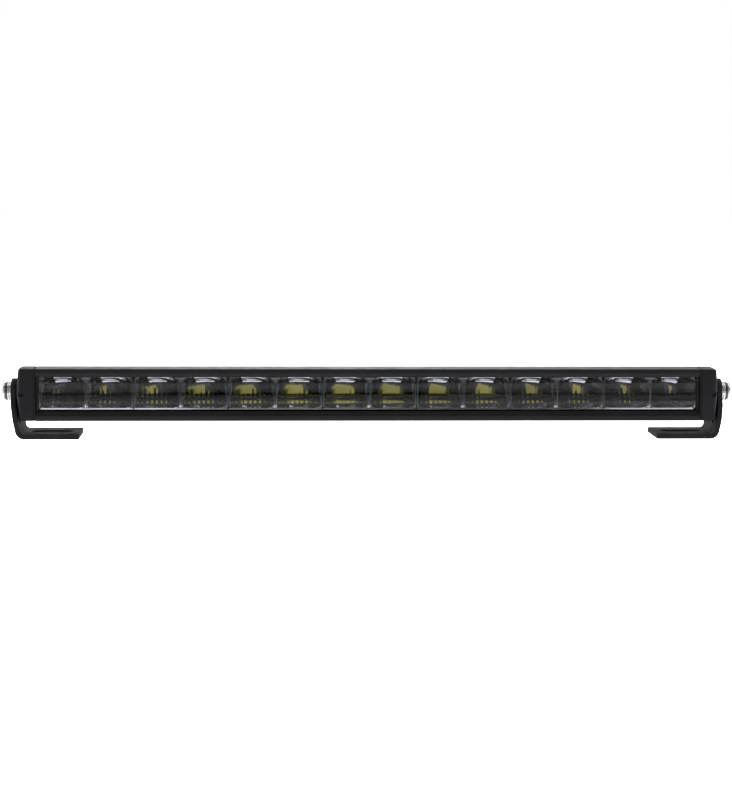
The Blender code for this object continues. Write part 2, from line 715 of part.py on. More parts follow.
def bowl(wall, steps, rows):
    """A solid of revolution about the bowl's axis, in front of the bowl's surface or of its back."""
    profile = []
    for row in range(rows + 1):
        radius = BOWL_EDGE * row / rows
        slope = radius / (2 * FOCAL_LENGTH)
        push = wall / math.hypot(1, slope)
        profile.append((radius + push * slope, parabola(radius) + push))
    profile.append((0, profile[-1][1]))
    return turned(profile, steps, POINT_BACK, (0, 0, 0))


def bowl_at(x, wall, steps, rows, x_range, heights):
    """One cell's bowl, held within the cell's side planes and heights."""
    front = REFLECTOR_FRONT - LED_DEPTH - (PAST if wall == 0 else 0)
    back = FOCAL_LENGTH + 2 * SHELL_WALL
    shape = bowl(wall, steps, rows)
    shape.location = (x, 0, 0)
    combine(shape, box((x_range[0], front, heights[0]), (x_range[1], back, heights[1])), "INTERSECT")
    bpy.context.view_layer.update()
    return baked(shape)


def make_reflectors():
    """Seven twin-cell modules that share one mesh. Their origins lie on the line of light sources."""
    half = CELL_PITCH - MODULE_GAP / 2
    front = REFLECTOR_FRONT - LED_DEPTH
    floor = FLOOR_HEIGHT - LED_PLANE
    roof = REFLECTOR_WALL
    module = box((-half, front, -SHARED), (half, FOCAL_LENGTH, roof), centre=(0, 0, 0))
    for side in (-1, 1):
        cell = side * CELL_PITCH / 2
        outer_x = sorted((-side * SHARED, side * half))
        shell = bowl_at(cell, SHELL_WALL, 16, 4, outer_x, (LIP_BOTTOM - LED_PLANE, 2 * SHARED))
        combine(module, shell, "UNION")
    for side in (-1, 1):
        cell = side * CELL_PITCH / 2
        inner_x = sorted((side * CELL_WALL, side * (half - CELL_WALL)))
        hollow = bowl_at(cell, 0, 24, 5, inner_x, (floor, 0))
        combine(module, hollow, "DIFFERENCE")
        reach = LED_WINDOW / 2
        window = box((cell - reach, -reach, -PAST), (cell + reach, reach, roof + PAST))
        combine(module, window, "DIFFERENCE")
    module = baked(module)
    for index in range(CELLS // 2):
        copy = module if index == 0 else module.copy()
        if index:
            bpy.context.scene.collection.objects.link(copy)
        x = (2 * index + 1 - CELLS / 2) * CELL_PITCH
        copy.location = section(LED_DEPTH, LED_PLANE, x)
        keep(copy, f"reflector_{index + 1}", "chrome")


def make_led_board():
    half = CELLS / 2 * CELL_PITCH - BOARD_END
    underside = LED_BOARD_UNDERSIDE
    board = section_box((-half, half), LED_BOARD, (underside, underside + BOARD_THICKNESS))
    keep(board, "led_board", "board_black")
    pad_low = underside + BOARD_THICKNESS + GAP
    pad_half = half - BOARD_END
    pad_depths = (LED_BOARD[0] + PAD_THICKNESS, LED_BOARD[1] - PAD_THICKNESS)
    pad = section_box((-pad_half, pad_half), pad_depths, (pad_low, pad_low + PAD_THICKNESS))
    keep(pad, "thermal_pad", "pad_grey")


def make_leds():
    """Each source is a square package with a raised phosphor face that looks down into its bowl."""
    top = LED_BOARD_UNDERSIDE - GAP - LED_PLANE
    shell = bmesh.new()
    bmesh.ops.create_cube(shell, size=1)
    bmesh.ops.scale(shell, vec=(LED_SIZE, LED_SIZE, top - PACKAGE_RECESS), verts=shell.verts)
    bmesh.ops.translate(shell, vec=(0, 0, (top + PACKAGE_RECESS) / 2), verts=shell.verts)
    under = min(shell.faces, key=lambda face: face.calc_center_median().z)
    bmesh.ops.inset_region(shell, faces=[under], thickness=(LED_SIZE - PHOSPHOR_SIZE) / 2)
    raised = bmesh.ops.extrude_face_region(shell, geom=[under])
    corners = [item for item in raised["geom"] if isinstance(item, bmesh.types.BMVert)]
    bmesh.ops.translate(shell, vec=(0, 0, -PHOSPHOR_RISE), verts=corners)
    bmesh.ops.delete(shell, geom=[under], context="FACES")
    mesh = bpy.data.meshes.new("led")
    shell.to_mesh(mesh)
    shell.free()
    for index in range(CELLS):
        led = bpy.data.objects.new("led", mesh)
        bpy.context.scene.collection.objects.link(led)
        led.location = section(LED_DEPTH, LED_PLANE, (index + 0.5 - CELLS / 2) * CELL_PITCH)
        keep(led, f"led_{index + 1}", "phosphor")


def make_driver():
    depths = (DRIVER_FRONT, DRIVER_FRONT + BOARD_THICKNESS)
    reach = CHAMBER_STEP[1] - GAP
    keep(section_box(DRIVER_X, depths, (-reach, reach)), "driver_board", "board_green")
    face = DRIVER_FRONT - GAP
    inductor = section_box(INDUCTOR_X, (face - INDUCTOR_DEPTH, face), INDUCTOR_HEIGHTS)
    bevel = inductor.modifiers.new("bevel", "BEVEL")
    bevel.width = INDUCTOR_BEVEL
    bevel.segments = 1
    keep(inductor, "driver_inductor", "ferrite")
    for index, x in enumerate(CAPACITOR_X):
        start = section(face - CAPACITOR_DEPTH, CAPACITOR_HEIGHT, x)
        can = cylinder(CAPACITOR_RADIUS, CAPACITOR_DEPTH, 18, POINT_BACK, start)
        keep(can, f"driver_capacitor_{index + 1}", "capacitor")


def make_leads():
    """Two thin leads run up between the reflector modules. The supply lead comes from the gland."""
    start = DRIVER_FRONT - GAP
    end = LED_BOARD_UNDERSIDE - GAP
    places = ((start, 2 * MM), (28 * MM, 2 * MM), (LEAD_DEPTH, 7 * MM), (LEAD_DEPTH, end))
    for side, word, colour in ((1, "positive", "wire_red"), (-1, "negative", "wire_black")):
        route = [section(depth, height, side * CELL_PITCH) for depth, height in places]
        keep(wire(route, LEAD_RADIUS), f"led_lead_{word}", colour)
    supply = [section(34.5 * MM, 0, GLAND_X), section(28.4 * MM, -1 * MM, GLAND_X)]
    supply += [section(27.4 * MM, -7 * MM, SUPPLY_END_X), section(start, -7 * MM, SUPPLY_END_X)]
    keep(wire(supply, SUPPLY_RADIUS), "supply_lead", "wire_black")


def gland_ring(profile, start, steps, name, material):
    turned_ring = turned(profile, steps, POINT_BACK, section(start, 0, GLAND_X), closed=True)
    keep(turned_ring, name, material)


def make_gland():
    flange = BACK_WALL + GAP
    tube = [(GLAND_BORE, GLAND_OUTER_END), (GLAND_THREAD, GLAND_OUTER_END)]
    tube += [(GLAND_THREAD, GLAND_INNER_END), (GLAND_BORE, GLAND_INNER_END)]
    body = turned(tube, 16, POINT_BACK, section(flange, 0, GLAND_X), closed=True)
    hexagon = prism(GLAND_HEX_HALF, GLAND_HEX_HEIGHT, POINT_BACK, section(flange, 0, GLAND_X))
    middle_radius = (GLAND_BORE + GLAND_THREAD) / 2
    start = section(flange - PAST, 0, GLAND_X)
    clear = cylinder(middle_radius, GLAND_HEX_HEIGHT + 2 * PAST, 16, POINT_BACK, start)
    combine(hexagon, clear, "DIFFERENCE")
    combine(body, baked(hexagon), "UNION")
    keep(baked(body), "gland_body", "nylon")

    nut_start = flange + GLAND_HEX_HEIGHT + GAP
    length = OVERALL_DEPTH - nut_start
    seal_start = GLAND_OUTER_END - GLAND_HEX_HEIGHT
    nut = [(GLAND_NUT_MOUTH, length), (GLAND_NUT_RADIUS * 0.8, length - 1 * MM)]
    nut += [(GLAND_NUT_RADIUS, length - GLAND_NUT_TAPER), (GLAND_NUT_RADIUS, 0), (GLAND_NUT_BORE, 0)]
    nut += [(GLAND_NUT_BORE, seal_start + 1.5 * MM), (GLAND_NUT_MOUTH, seal_start + 4.5 * MM)]
    gland_ring(nut, nut_start, 16, "gland_nut", "nylon")

    seal_end = length - seal_start - 0.6 * MM
    seal = [(GLAND_BORE, seal_end), (GLAND_SEAL_RADIUS, seal_end), (GLAND_SEAL_RADIUS, 1.6 * MM)]
    seal += [(GLAND_SEAL_RIM, 0.4 * MM), (GLAND_SEAL_RIM, 0), (GLAND_BORE, 0)]
    gland_ring(seal, flange + GLAND_OUTER_END + GAP, 14, "gland_seal", "rubber")

    lock_start = CHAMBER_BACK - GAP - LOCK_NUT_HEIGHT
    lock = prism(LOCK_NUT_HALF, LOCK_NUT_HEIGHT, POINT_BACK, section(lock_start, 0, GLAND_X))
    thread = cylinder(GLAND_NUT_BORE, 8 * MM, 16, POINT_BACK, section(lock_start - PAST, 0, GLAND_X))
    combine(lock, thread, "DIFFERENCE")
    keep(baked(lock), "gland_lock_nut", "nylon")


def make_vent():
    profile = [(0, VENT_HEIGHT), (VENT_RADIUS * 0.7, VENT_HEIGHT), (VENT_RADIUS, VENT_HEIGHT * 2 / 3)]
    profile += [(VENT_RADIUS, 0), (VENT_SHANK, 0), (VENT_SHANK, -VENT_SHANK_LENGTH), (0, -VENT_SHANK_LENGTH)]
    vent = turned(profile, 14, POINT_BACK, section(BACK_WALL + GAP, 0, VENT_X))
    keep(vent, "breather_vent", "nylon")


def strip(centreline, thickness):
    """The outline of a bent plate, from its centreline."""
    lefts, rights = [], []
    for index, point in enumerate(centreline):
        before = centreline[max(index - 1, 0)]
        after = centreline[min(index + 1, len(centreline) - 1)]
        along = (after - before).normalized()
        normal = Vector((-along.y, along.x)) * thickness / 2
        lefts.append(point + normal)
        rights.append(point - normal)
    return lefts + list(reversed(rights))


def bracket_centreline():
    middle_x = ARM_OUTER_X - PLATE / 2
    heel_x = middle_x - (ARM_KNEE_Z - PLATE / 2) * math.tan(ARM_LEAN)
    corners = [(middle_x, 2 * MIDDLE_Z, 0), (middle_x, ARM_KNEE_Z, KNEE_RADIUS)]
    corners += [(heel_x, PLATE / 2, HEEL_RADIUS), (FOOT_INNER_X, PLATE / 2, 0)]
    return fillet(corners, steps=6)


def bracket_side_outline():
    """The bracket seen from its end: a wide foot, narrowing to a round tongue about the pivot."""
    tongue = ARM_TOP_WIDTH / 2
    top = PIVOT_HEIGHT + tongue
    low = -MIDDLE_Z - PAST
    corners = [(0, low, 0), (FOOT_DEPTH, low, 0), (FOOT_DEPTH, SHOULDER_LOW, SHOULDER_RADIUS)]
    corners.append((PIVOT_DEPTH + tongue, SHOULDER_HIGH, SHOULDER_RADIUS))
    corners += [(PIVOT_DEPTH + tongue, top, tongue * ALMOST), (PIVOT_DEPTH - tongue, top, tongue * ALMOST)]
    corners.append((PIVOT_DEPTH - tongue, SHOULDER_HIGH, SHOULDER_RADIUS))
    corners.append((0, SHOULDER_LOW, SHOULDER_RADIUS))
    return fillet(corners, steps=5)


def mirrored_to(side, outline):
    return [Vector((side * point.x, point.y)) for point in outline]


def foot_plan(side):
    """The bracket seen from above, with its inner corners rounded."""
    low, high = FOOT_INNER_X, ARM_OUTER_X + PAST
    edges = FOOT_DEPTH / 2
    corners = [(low, -edges, FOOT_CORNER), (high, -edges, 0), (high, edges, 0), (low, edges, FOOT_CORNER)]
    return mirrored_to(side, fillet(corners, steps=4))


def slot_plan(side):
    reach = SLOT_WIDTH / 2
    start, end = SLOT_X
    corners = [(start, -reach), (end, -reach), (end, reach), (start, reach)]
    return mirrored_to(side, fillet([(*corner, reach * ALMOST) for corner in corners], steps=6))


def make_bracket(side, name):
    upright = Euler((0, 0, 0))
    middle_y = FRONT_Y + FOOT_DEPTH / 2
    plate = strip(mirrored_to(side, bracket_centreline()), PLATE)
    bracket = extruded([plate], FOOT_DEPTH, ALONG_Y, Vector((0, middle_y, 0)))
    width = ARM_OUTER_X - FOOT_INNER_X + 2 * PAST
    middle = section(0, 0, side * (ARM_OUTER_X + FOOT_INNER_X) / 2)
    combine(bracket, extruded([bracket_side_outline()], width, ALONG_X, middle), "INTERSECT")
    plan = extruded([foot_plan(side)], 3 * MIDDLE_Z, upright, Vector((0, middle_y, MIDDLE_Z)))
    combine(bracket, plan, "INTERSECT")
    slot = extruded([slot_plan(side)], 3 * PLATE, upright, Vector((0, FRONT_Y + SLOT_DEPTH, PLATE / 2)))
    combine(bracket, slot, "DIFFERENCE")
    inside = side * (ARM_OUTER_X - 4 * PLATE)
    pivot_hole = cylinder(ARM_BOLT_HOLE, 6 * PLATE, 24, outwards(side), pivot_at(inside))
    combine(bracket, pivot_hole, "DIFFERENCE")
    side_hole = cylinder(SIDE_HOLE_RADIUS, 6 * PLATE, 16, outwards(side), section(*SIDE_HOLE, inside))
    combine(bracket, side_hole, "DIFFERENCE")
    bracket = keep(baked(bracket), name, "black_powder")
    move_origin(bracket, pivot_at(side * ARM_OUTER_X))


def move_origin(obj, place):
    """Put the object's origin at this world place, and leave its shape where it is."""
    bpy.context.view_layer.update()
    obj.data.transform(Matrix.Translation(-place) @ obj.matrix_world)
    obj.matrix_world = Matrix.Translation(place)


def make_pivot_hardware(side, word):
    """Two flat washers, a spring washer and a domed bolt, outwards from the arm."""
    turn = outwards(side)
    place = ARM_OUTER_X + STACK_GAP
    for label in ("inner", "outer"):
        washer = ring(WASHER_HOLE, WASHER_RADIUS, WASHER_THICKNESS, 24, turn, pivot_at(side * place))
        keep(washer, f"flat_washer_{label}_{word}", "stainless")
        place += WASHER_THICKNESS + STACK_GAP
    spring = ring(WASHER_HOLE, SPRING_RADIUS, SPRING_THICKNESS, 24, turn, pivot_at(side * place))
    split_x = (place - PAST, place + SPRING_THICKNESS + PAST)
    depths = (PIVOT_DEPTH + WASHER_HOLE - PAST, PIVOT_DEPTH + SPRING_RADIUS + PAST)
    heights = (PIVOT_HEIGHT - SPRING_SPLIT / 2, PIVOT_HEIGHT + SPRING_SPLIT / 2)
    combine(spring, side_box(side, split_x, depths, heights), "DIFFERENCE")
    keep(baked(spring), f"spring_washer_{word}", "dark_steel")
    make_pivot_bolt(side, word, place + SPRING_THICKNESS + STACK_GAP)


def make_pivot_bolt(side, word, seat_x):
    profile = [(0, BOLT_HEAD_HEIGHT), (BOLT_HEAD_FLAT, BOLT_HEAD_HEIGHT)]
    for turn in (30, 60, 90):
        out = (BOLT_HEAD_RADIUS - BOLT_HEAD_FLAT) * math.sin(math.radians(turn))
        down = (BOLT_HEAD_HEIGHT - BOLT_HEAD_RIM) * math.cos(math.radians(turn))
        profile.append((BOLT_HEAD_FLAT + out, BOLT_HEAD_RIM + down))
    shank = seat_x - BOLT_END_X
    profile += [(BOLT_HEAD_RADIUS, 0), (BOLT_RADIUS, 0), (BOLT_RADIUS, -shank), (0, -shank)]
    bolt = turned(profile, 20, outwards(side), pivot_at(side * seat_x))
    floor_x = seat_x + BOLT_HEAD_HEIGHT - BOLT_SOCKET_DEPTH
    socket = prism(BOLT_SOCKET, BOLT_HEAD_HEIGHT, outwards(side), pivot_at(side * floor_x))
    combine(bolt, socket, "DIFFERENCE")
    keep(baked(bolt), f"pivot_bolt_{word}", "stainless")


def main():
    make_housing()
    for side, word in ((-1, "left"), (1, "right")):
        make_end_cap(side, f"end_cap_{word}")
        make_gasket(side, f"end_gasket_{word}")
        make_cap_screws(side, word)
        make_bracket(side, f"bracket_{word}")
        make_pivot_hardware(side, word)
    make_lens()
    make_lens_seal()
    make_reflectors()
    make_led_board()
    make_leds()
    make_driver()
    make_leads()
    make_gland()
    make_vent()


clear_scene()
PARTS = collection("led_light_bar")
TOOLS = collection("cutters")
MATERIALS = {name: make_material(name) for name in COLOURS}
main()
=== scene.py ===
"""Looks of the LED light bar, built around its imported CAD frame.

Shapes are drawn in millimetres as (x, depth, height): x along the bar, depth behind the front plane,
and height above the middle of the body. TO_WORLD turns them into the frame's metres.
"""

import math

import bmesh
import bpy
from mathutils import Matrix, Vector


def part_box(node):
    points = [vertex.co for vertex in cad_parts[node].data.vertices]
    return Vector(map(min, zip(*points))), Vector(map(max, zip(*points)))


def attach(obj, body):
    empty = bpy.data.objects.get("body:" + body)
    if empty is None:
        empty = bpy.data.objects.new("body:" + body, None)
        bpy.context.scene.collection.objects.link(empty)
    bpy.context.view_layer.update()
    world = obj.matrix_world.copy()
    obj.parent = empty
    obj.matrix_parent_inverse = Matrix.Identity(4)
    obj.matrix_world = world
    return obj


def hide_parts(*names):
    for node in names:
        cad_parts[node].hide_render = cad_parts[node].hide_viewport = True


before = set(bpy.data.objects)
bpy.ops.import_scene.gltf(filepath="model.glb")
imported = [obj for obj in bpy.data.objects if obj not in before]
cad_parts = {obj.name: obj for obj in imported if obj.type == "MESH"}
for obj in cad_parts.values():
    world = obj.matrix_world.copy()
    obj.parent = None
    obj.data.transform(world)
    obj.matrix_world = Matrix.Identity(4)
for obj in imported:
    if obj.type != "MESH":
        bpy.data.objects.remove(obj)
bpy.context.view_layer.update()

MM = 0.001
HOUSING_LOW, HOUSING_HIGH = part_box("housing")
FRONT_Y = HOUSING_LOW.y
MIDDLE_Z = (HOUSING_LOW.z + HOUSING_HIGH.z) / 2
TO_WORLD = Matrix.Translation((0, FRONT_Y, MIDDLE_Z)) @ Matrix.Scale(MM, 4)
HOUSING_HALF = HOUSING_HIGH.x / MM
SIDES = ((-1, "left"), (1, "right"))

# Body section.
TOP = 20.0
TOP_FLAT = 23.0
SHOULDER = (37.0, 15.5)
WINDOW_TOP = 13.6
WINDOW_BOTTOM = -12.6
FIN_PITCH = 4.8
FIN_TIP_DEPTH = 52.0
FIN_TIP_BOW = 0.022
GROOVES = (26.2, 29.4, 32.6)
PORT_RADIUS = 2.4
PORT_HOLE = 1.6
SCREW_PORTS = [(depth, sign * height) for depth, height in ((11.8, 16.3), (39.5, 11.5)) for sign in (1, -1)]
RECESS_FLOOR = 37.0
RECESS = ((150, RECESS_FLOOR, -12), (214, 56, 12))
GLAND_SEAT = 37.3
GLAND_X = 170
VENT_X = 200

# Pivot, brackets and end caps.
PIVOT = (21.0, 1.0)
CAP_START = 256.3
CAP_EDGE = 265.4
CAP_ROUNDING = 3.3
BOSS_X = 270.4
BOSS_RADIUS = 9.5
ARM_OUTER_X = 274.6
PLATE = 3.9
CAP_POCKETS = (((16, 33.5), (8.8, 12.6)), ((16, 33.5), (-12.6, -8.8)), ((31.5, 33.5), (-7.8, 7.8)))
SLOT_DEPTH = 21.0
SLOT_HALF = 5.2

# Optics.
CELLS = 14
CELL_PITCH = 36.2
FOCAL = 9.1
FOCUS = (20.2, 12.4)
BOWL_SHIFT = (-0.5, 0.25, -0.05)
LED_OFFSET = 0.4
CELL_WALL = 0.9
FLOOR = -10.9
LIP_BOTTOM = -11.9
LIP_FRONT = 9.2
FRAME_DEPTH = (9.7, 10.2)
MOULDING_TOP = 13.6
SHELL = 1.3
BACK_CURVE = 0.97
TUNNEL_START = 8.5
TUNNEL_END = 32.0
ROOF = 12.95
ROOF_OPENING = 11.0
TAB_HALF = 5.2
TAB_END = 16.7
ARCH_RADIUS = 6.0
ARCH_TAPER = 0.16
GUSSET = (2.7, 2.9)
FLUTE_PITCH = 3.6
FLUTE_START = 8.0
FLUTE_SLOPE = 0.008
ROWS_START = 13.9
ROW_PITCH = 4.7
ROW_BULGE = 0.16
# Painted shade on the reflectors' mirror colour: the share taken off the walls, the frame, the bottom
# corners and the join between the pillow rows, and the heights of that join.
WALL_SHADE = 0.78
FRAME_SHADE = 0.88
CORNER_SHADE = 0.85
ROW_SHADE = 0.88
ROW_JOIN = (-4.2, -3.6, -1.6, -1.0)

# Light: strengths, and the angles in degrees over which each one rises and fades.
WALL = 1.0
LEFT_BANK = 0.75
RIGHT_BANK = 0.75
GAP_LIGHT = (0.2, 0.05)
VEIL = 0.4
FRONT_DARK = 0.02
OVERHEAD = 0.15
PANELS = 1.8
TABLE = 0.75
SKY = (0.55, 1.0)
GLOW = 1.45
WALL_LEVEL = (-5.0, -4.0, 4.5, 6.0)
LAMP_LEVEL = (11.0, 13.0, 42.0, 54.0)
VEIL_LEVEL = (-12.0, -10.0, -4.0, -2.5)
LEFT_BANK_TURN = (-20, -15, -2.8, -2.0)
RIGHT_BANK_TURN = (9.7, 10.3, 17, 22)
GLOW_TURN = (-12, 0, 2, 13)

# Camera: its place in metres, its angles in degrees, and its lens and sensor in millimetres.
CAMERA_PLACE = (-0.0755, -1.6223, 0.21324)
CAMERA_YAW = 2.605
CAMERA_PITCH = 6.613
CAMERA_ROLL = 0.28
LENS_LENGTH = 93.75
SENSOR_WIDTH = 36.0


# ---------------------------------------------------------------- mesh helpers


def fillet(corners, steps=8):
    """The outline through these (x, y, radius) corners, with each corner rounded by its radius."""
    outline = []
    for index, (x, y, radius) in enumerate(corners):
        corner = Vector((x, y))
        if radius == 0:
            outline.append(corner)
            continue
        before = (Vector(corners[index - 1][:2]) - corner).normalized()
        after = (Vector(corners[(index + 1) % len(corners)][:2]) - corner).normalized()
        half = before.angle(after) / 2
        centre = corner + (before + after).normalized() * radius / math.sin(half)
        start = corner + before * radius / math.tan(half)
        end = corner + after * radius / math.tan(half)
        sweep = (start - centre).angle_signed(end - centre)
        for step in range(steps + 1):
            outline.append(centre + Matrix.Rotation(-sweep * step / steps, 2) @ (start - centre))
    return outline


def even(outline, longest):
    """The closed outline with extra points, so that no side is over the longest length."""
    points = []
    for index, start in enumerate(outline):
        end = outline[(index + 1) % len(outline)]
        parts = max(1, math.ceil((end - start).length / longest))
        points += [start.lerp(end, part / parts) for part in range(parts)]
    return points


def add_rings(solid, rings, closed=False):
    """Bridge rings of points. A ring of one point is a pole. Open ends with more points are capped."""
    rows = [[solid.verts.new(point) for point in ring] for ring in rings]
    pairs = list(zip(rows, rows[1:])) + ([(rows[-1], rows[0])] if closed else [])
    for row, after in pairs:
        count = max(len(row), len(after))
        for index in range(count):
            following = (index + 1) % count
            corners = [row[index % len(row)], row[following % len(row)]]
            corners += [after[following % len(after)], after[index % len(after)]]
            solid.faces.new(list(dict.fromkeys(corners)))
    if not closed:
        for row in (rows[0], rows[-1]):
            if len(row) > 1:
                solid.faces.new(row)
    return solid


def prism_along_x(outline, low, high):
    """A solid with this (depth, height) outline, from low to high along the bar."""
    return add_rings(bmesh.new(), [[(x, p.x, p.y) for p in outline] for x in (low, high)])


def turned(profile, steps, place, axis, closed=False, radius_at=None):
    """A turned solid: (radius, along) points spun about the axis through place."""
    axis = Vector(axis)
    across = axis.orthogonal().normalized()
    up = axis.cross(across)
    rings = []
    for radius, along in profile:
        centre = Vector(place) + axis * along
        if radius == 0:
            rings.append([centre])
            continue
        ring = []
        for step in range(steps):
            turn = math.tau * step / steps
            reach = radius if radius_at is None else radius_at(radius, along, turn)
            ring.append(centre + (across * math.cos(turn) + up * math.sin(turn)) * reach)
        rings.append(ring)
    return add_rings(bmesh.new(), rings, closed)


def hexagon(half_width, place, axis, start, end, lean=0.0):
    """A hexagonal prism about the axis."""
    radius = half_width / math.cos(math.pi / 6)
    return turned([(radius, start), (radius + lean, end)], 6, place, axis)


def block(low, high):
    solid = bmesh.new()
    bmesh.ops.create_cube(solid, size=1)
    low, high = Vector(low), Vector(high)
    bmesh.ops.scale(solid, vec=high - low, verts=solid.verts)
    bmesh.ops.translate(solid, vec=(low + high) / 2, verts=solid.verts)
    return solid


def softened(solid, width, segments=3, angle=30):
    """Round every edge that is sharper than the angle."""
    solid.normal_update()
    sharp = [e for e in solid.edges if len(e.link_faces) == 2 and e.calc_face_angle() > math.radians(angle)]
    bmesh.ops.bevel(solid, geom=sharp, offset=width, segments=segments, profile=0.5, affect="EDGES")
    return solid


def as_object(solid, name):
    mesh = bpy.data.meshes.new(name)
    solid.to_mesh(mesh)
    solid.free()
    made = bpy.data.objects.new(name, mesh)
    bpy.context.scene.collection.objects.link(made)
    return made


def evaluated(obj):
    """The object's mesh with its modifiers applied, as a bmesh."""
    bpy.context.view_layer.update()
    graph = bpy.context.evaluated_depsgraph_get()
    mesh = bpy.data.meshes.new_from_object(obj.evaluated_get(graph))
    made = bmesh.new()
    made.from_mesh(mesh)
    bpy.data.meshes.remove(mesh)
    return made


def carved(solid, *tools, operation="DIFFERENCE"):
    """The solid cut by, joined with or held within the tools."""
    bmesh.ops.recalc_face_normals(solid, faces=solid.faces)
    target = as_object(solid, "target")
    cutters = []
    for tool in tools:
        bmesh.ops.recalc_face_normals(tool, faces=tool.faces)
        cutters.append(as_object(tool, "tool"))
        modifier = target.modifiers.new("cut", "BOOLEAN")
        modifier.operation = operation
        modifier.solver = "EXACT"
        modifier.object = cutters[-1]
    made = evaluated(target)
    for obj in [target] + cutters:
        bpy.data.objects.remove(obj, do_unlink=True)
    return made


def blank(outline, holes, thickness, rounding):
    """A flat sheet-metal blank in the XY plane, with every outer and inner edge rounded."""
    curve = bpy.data.curves.new("blank", "CURVE")
    curve.dimensions = "2D"
    curve.fill_mode = "BOTH"
    curve.extrude = thickness / 2 - rounding
    curve.bevel_depth = rounding
    curve.bevel_resolution = 2
    curve.offset = -rounding
    for points, clockwise in [(outline, False)] + [(hole, True) for hole in holes]:
        area = sum(a.x * b.y - b.x * a.y for a, b in zip(points, points[1:] + points[:1]))
        ordered = points if (area < 0) == clockwise else points[::-1]
        spline = curve.splines.new("POLY")
        spline.points.add(len(ordered) - 1)
        spline.use_cyclic_u = True
        for point, place in zip(spline.points, ordered):
            point.co = (place.x, place.y, 0, 1)
    drawn = bpy.data.objects.new("blank", curve)
    bpy.context.scene.collection.objects.link(drawn)
    solid = evaluated(drawn)
    bpy.data.objects.remove(drawn, do_unlink=True)
    bmesh.ops.remove_doubles(solid, verts=solid.verts, dist=0.001)
    return solid


def piece(name, solid, material, nodes=(), body="lamp", smooth=30):
    """Make the solid a piece of the visual model that rides on its body."""
    bmesh.ops.transform(solid, matrix=TO_WORLD, verts=solid.verts)
    bmesh.ops.recalc_face_normals(solid, faces=solid.faces)
    obj = as_object(solid, name)
    obj.data.shade_smooth()
    obj.data.set_sharp_from_angle(angle=math.radians(smooth))
    obj.data.materials.append(material)
    return declared(obj, nodes, body)


def declared(obj, nodes, body):
    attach(obj, body)
    if nodes:
        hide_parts(*nodes)
    return obj


# ------------------------------------------------------------------- materials


class Finish:
    """A procedural material. Its coordinates are the object's own, in metres."""

    def __init__(self, name):
        self.material = bpy.data.materials.new(name)
        self.material.use_nodes = True
        self.tree = self.material.node_tree
        self.shader = self.tree.nodes["Principled BSDF"]
        self.place = self.add("ShaderNodeTexCoord").outputs["Object"]

    def add(self, kind, links=None, **settings):
        node = self.tree.nodes.new(kind)
        for key, value in settings.items():
            setattr(node, key, value)
        for key, value in (links or {}).items():
            self.feed(node.inputs[key], value)
        return node

    def feed(self, socket, value):
        if isinstance(value, bpy.types.NodeSocket):
            self.tree.links.new(value, socket)
        else:
            socket.default_value = value

    def set(self, **values):
        for key, value in values.items():
            self.feed(self.shader.inputs[key.replace("_", " ")], value)

    def math(self, operation, a, b=0.0):
        return self.add("ShaderNodeMath", {0: a, 1: b}, operation=operation).outputs[0]

    def chain(self, operation, *values):
        """The same operation over several values."""
        result = values[0]
        for value in values[1:]:
            result = self.math(operation, result, value)
        return result

    def stretched(self, x, y, z):
        node = self.add("ShaderNodeVectorMath", {0: self.place, 1: (x, y, z)}, operation="MULTIPLY")
        return node.outputs[0]

    def noise(self, scale, detail=3.0, vector=None, rough=0.5):
        links = {"Vector": vector or self.place, "Scale": scale, "Detail": detail, "Roughness": rough}
        return self.add("ShaderNodeTexNoise", links).outputs["Fac"]

    def spread(self, value, low, high, start=0.35, end=0.65):
        """The value mapped smoothly from start-end to low-high."""
        links = {"Value": value, "From Min": start, "From Max": end, "To Min": low, "To Max": high}
        return self.add("ShaderNodeMapRange", links, interpolation_type="SMOOTHSTEP").outputs["Result"]

    def blend(self, factor, first, second):
        """A colour between the first and the second."""
        node = self.add("ShaderNodeMix", data_type="RGBA")
        self.feed(node.inputs[0], factor)
        for socket, colour in zip((s for s in node.inputs if s.type == "RGBA"), (first, second)):
            self.feed(socket, (*colour, 1))
        return next(s for s in node.outputs if s.type == "RGBA")

    def bump(self, height, strength, distance):
        links = {"Height": height, "Strength": strength, "Distance": distance}
        self.set(Normal=self.add("ShaderNodeBump", links).outputs["Normal"])


def coated(name, dark, light, rough, grain, bump):
    """A black coat: fine grain in the coat, faint cloudiness, and slightly uneven gloss."""
    finish = Finish(name)
    cloud = finish.noise(35.0, 4.0)
    finish.set(Base_Color=finish.blend(finish.spread(cloud, 0, 1), dark, light))
    fine = finish.noise(grain, 2.0, rough=0.6)
    finish.set(Roughness=finish.spread(finish.noise(120.0, 3.0), *rough), Specular_IOR_Level=0.18)
    finish.bump(fine, bump, 0.05 * MM)
    return finish


def metal(name, colour, rough, streak, bump):
    """A bright metal with fine marks. Streak stretches the marks along an axis."""
    finish = Finish(name)
    marks = finish.noise(1.0, 4.0, finish.stretched(*streak))
    dull = tuple(0.82 * channel for channel in colour)
    finish.set(Base_Color=finish.blend(finish.spread(marks, 0, 1), dull, colour))
    finish.set(Roughness=finish.spread(marks, *rough), Metallic=1.0)
    finish.bump(marks, bump, 0.02 * MM)
    return finish


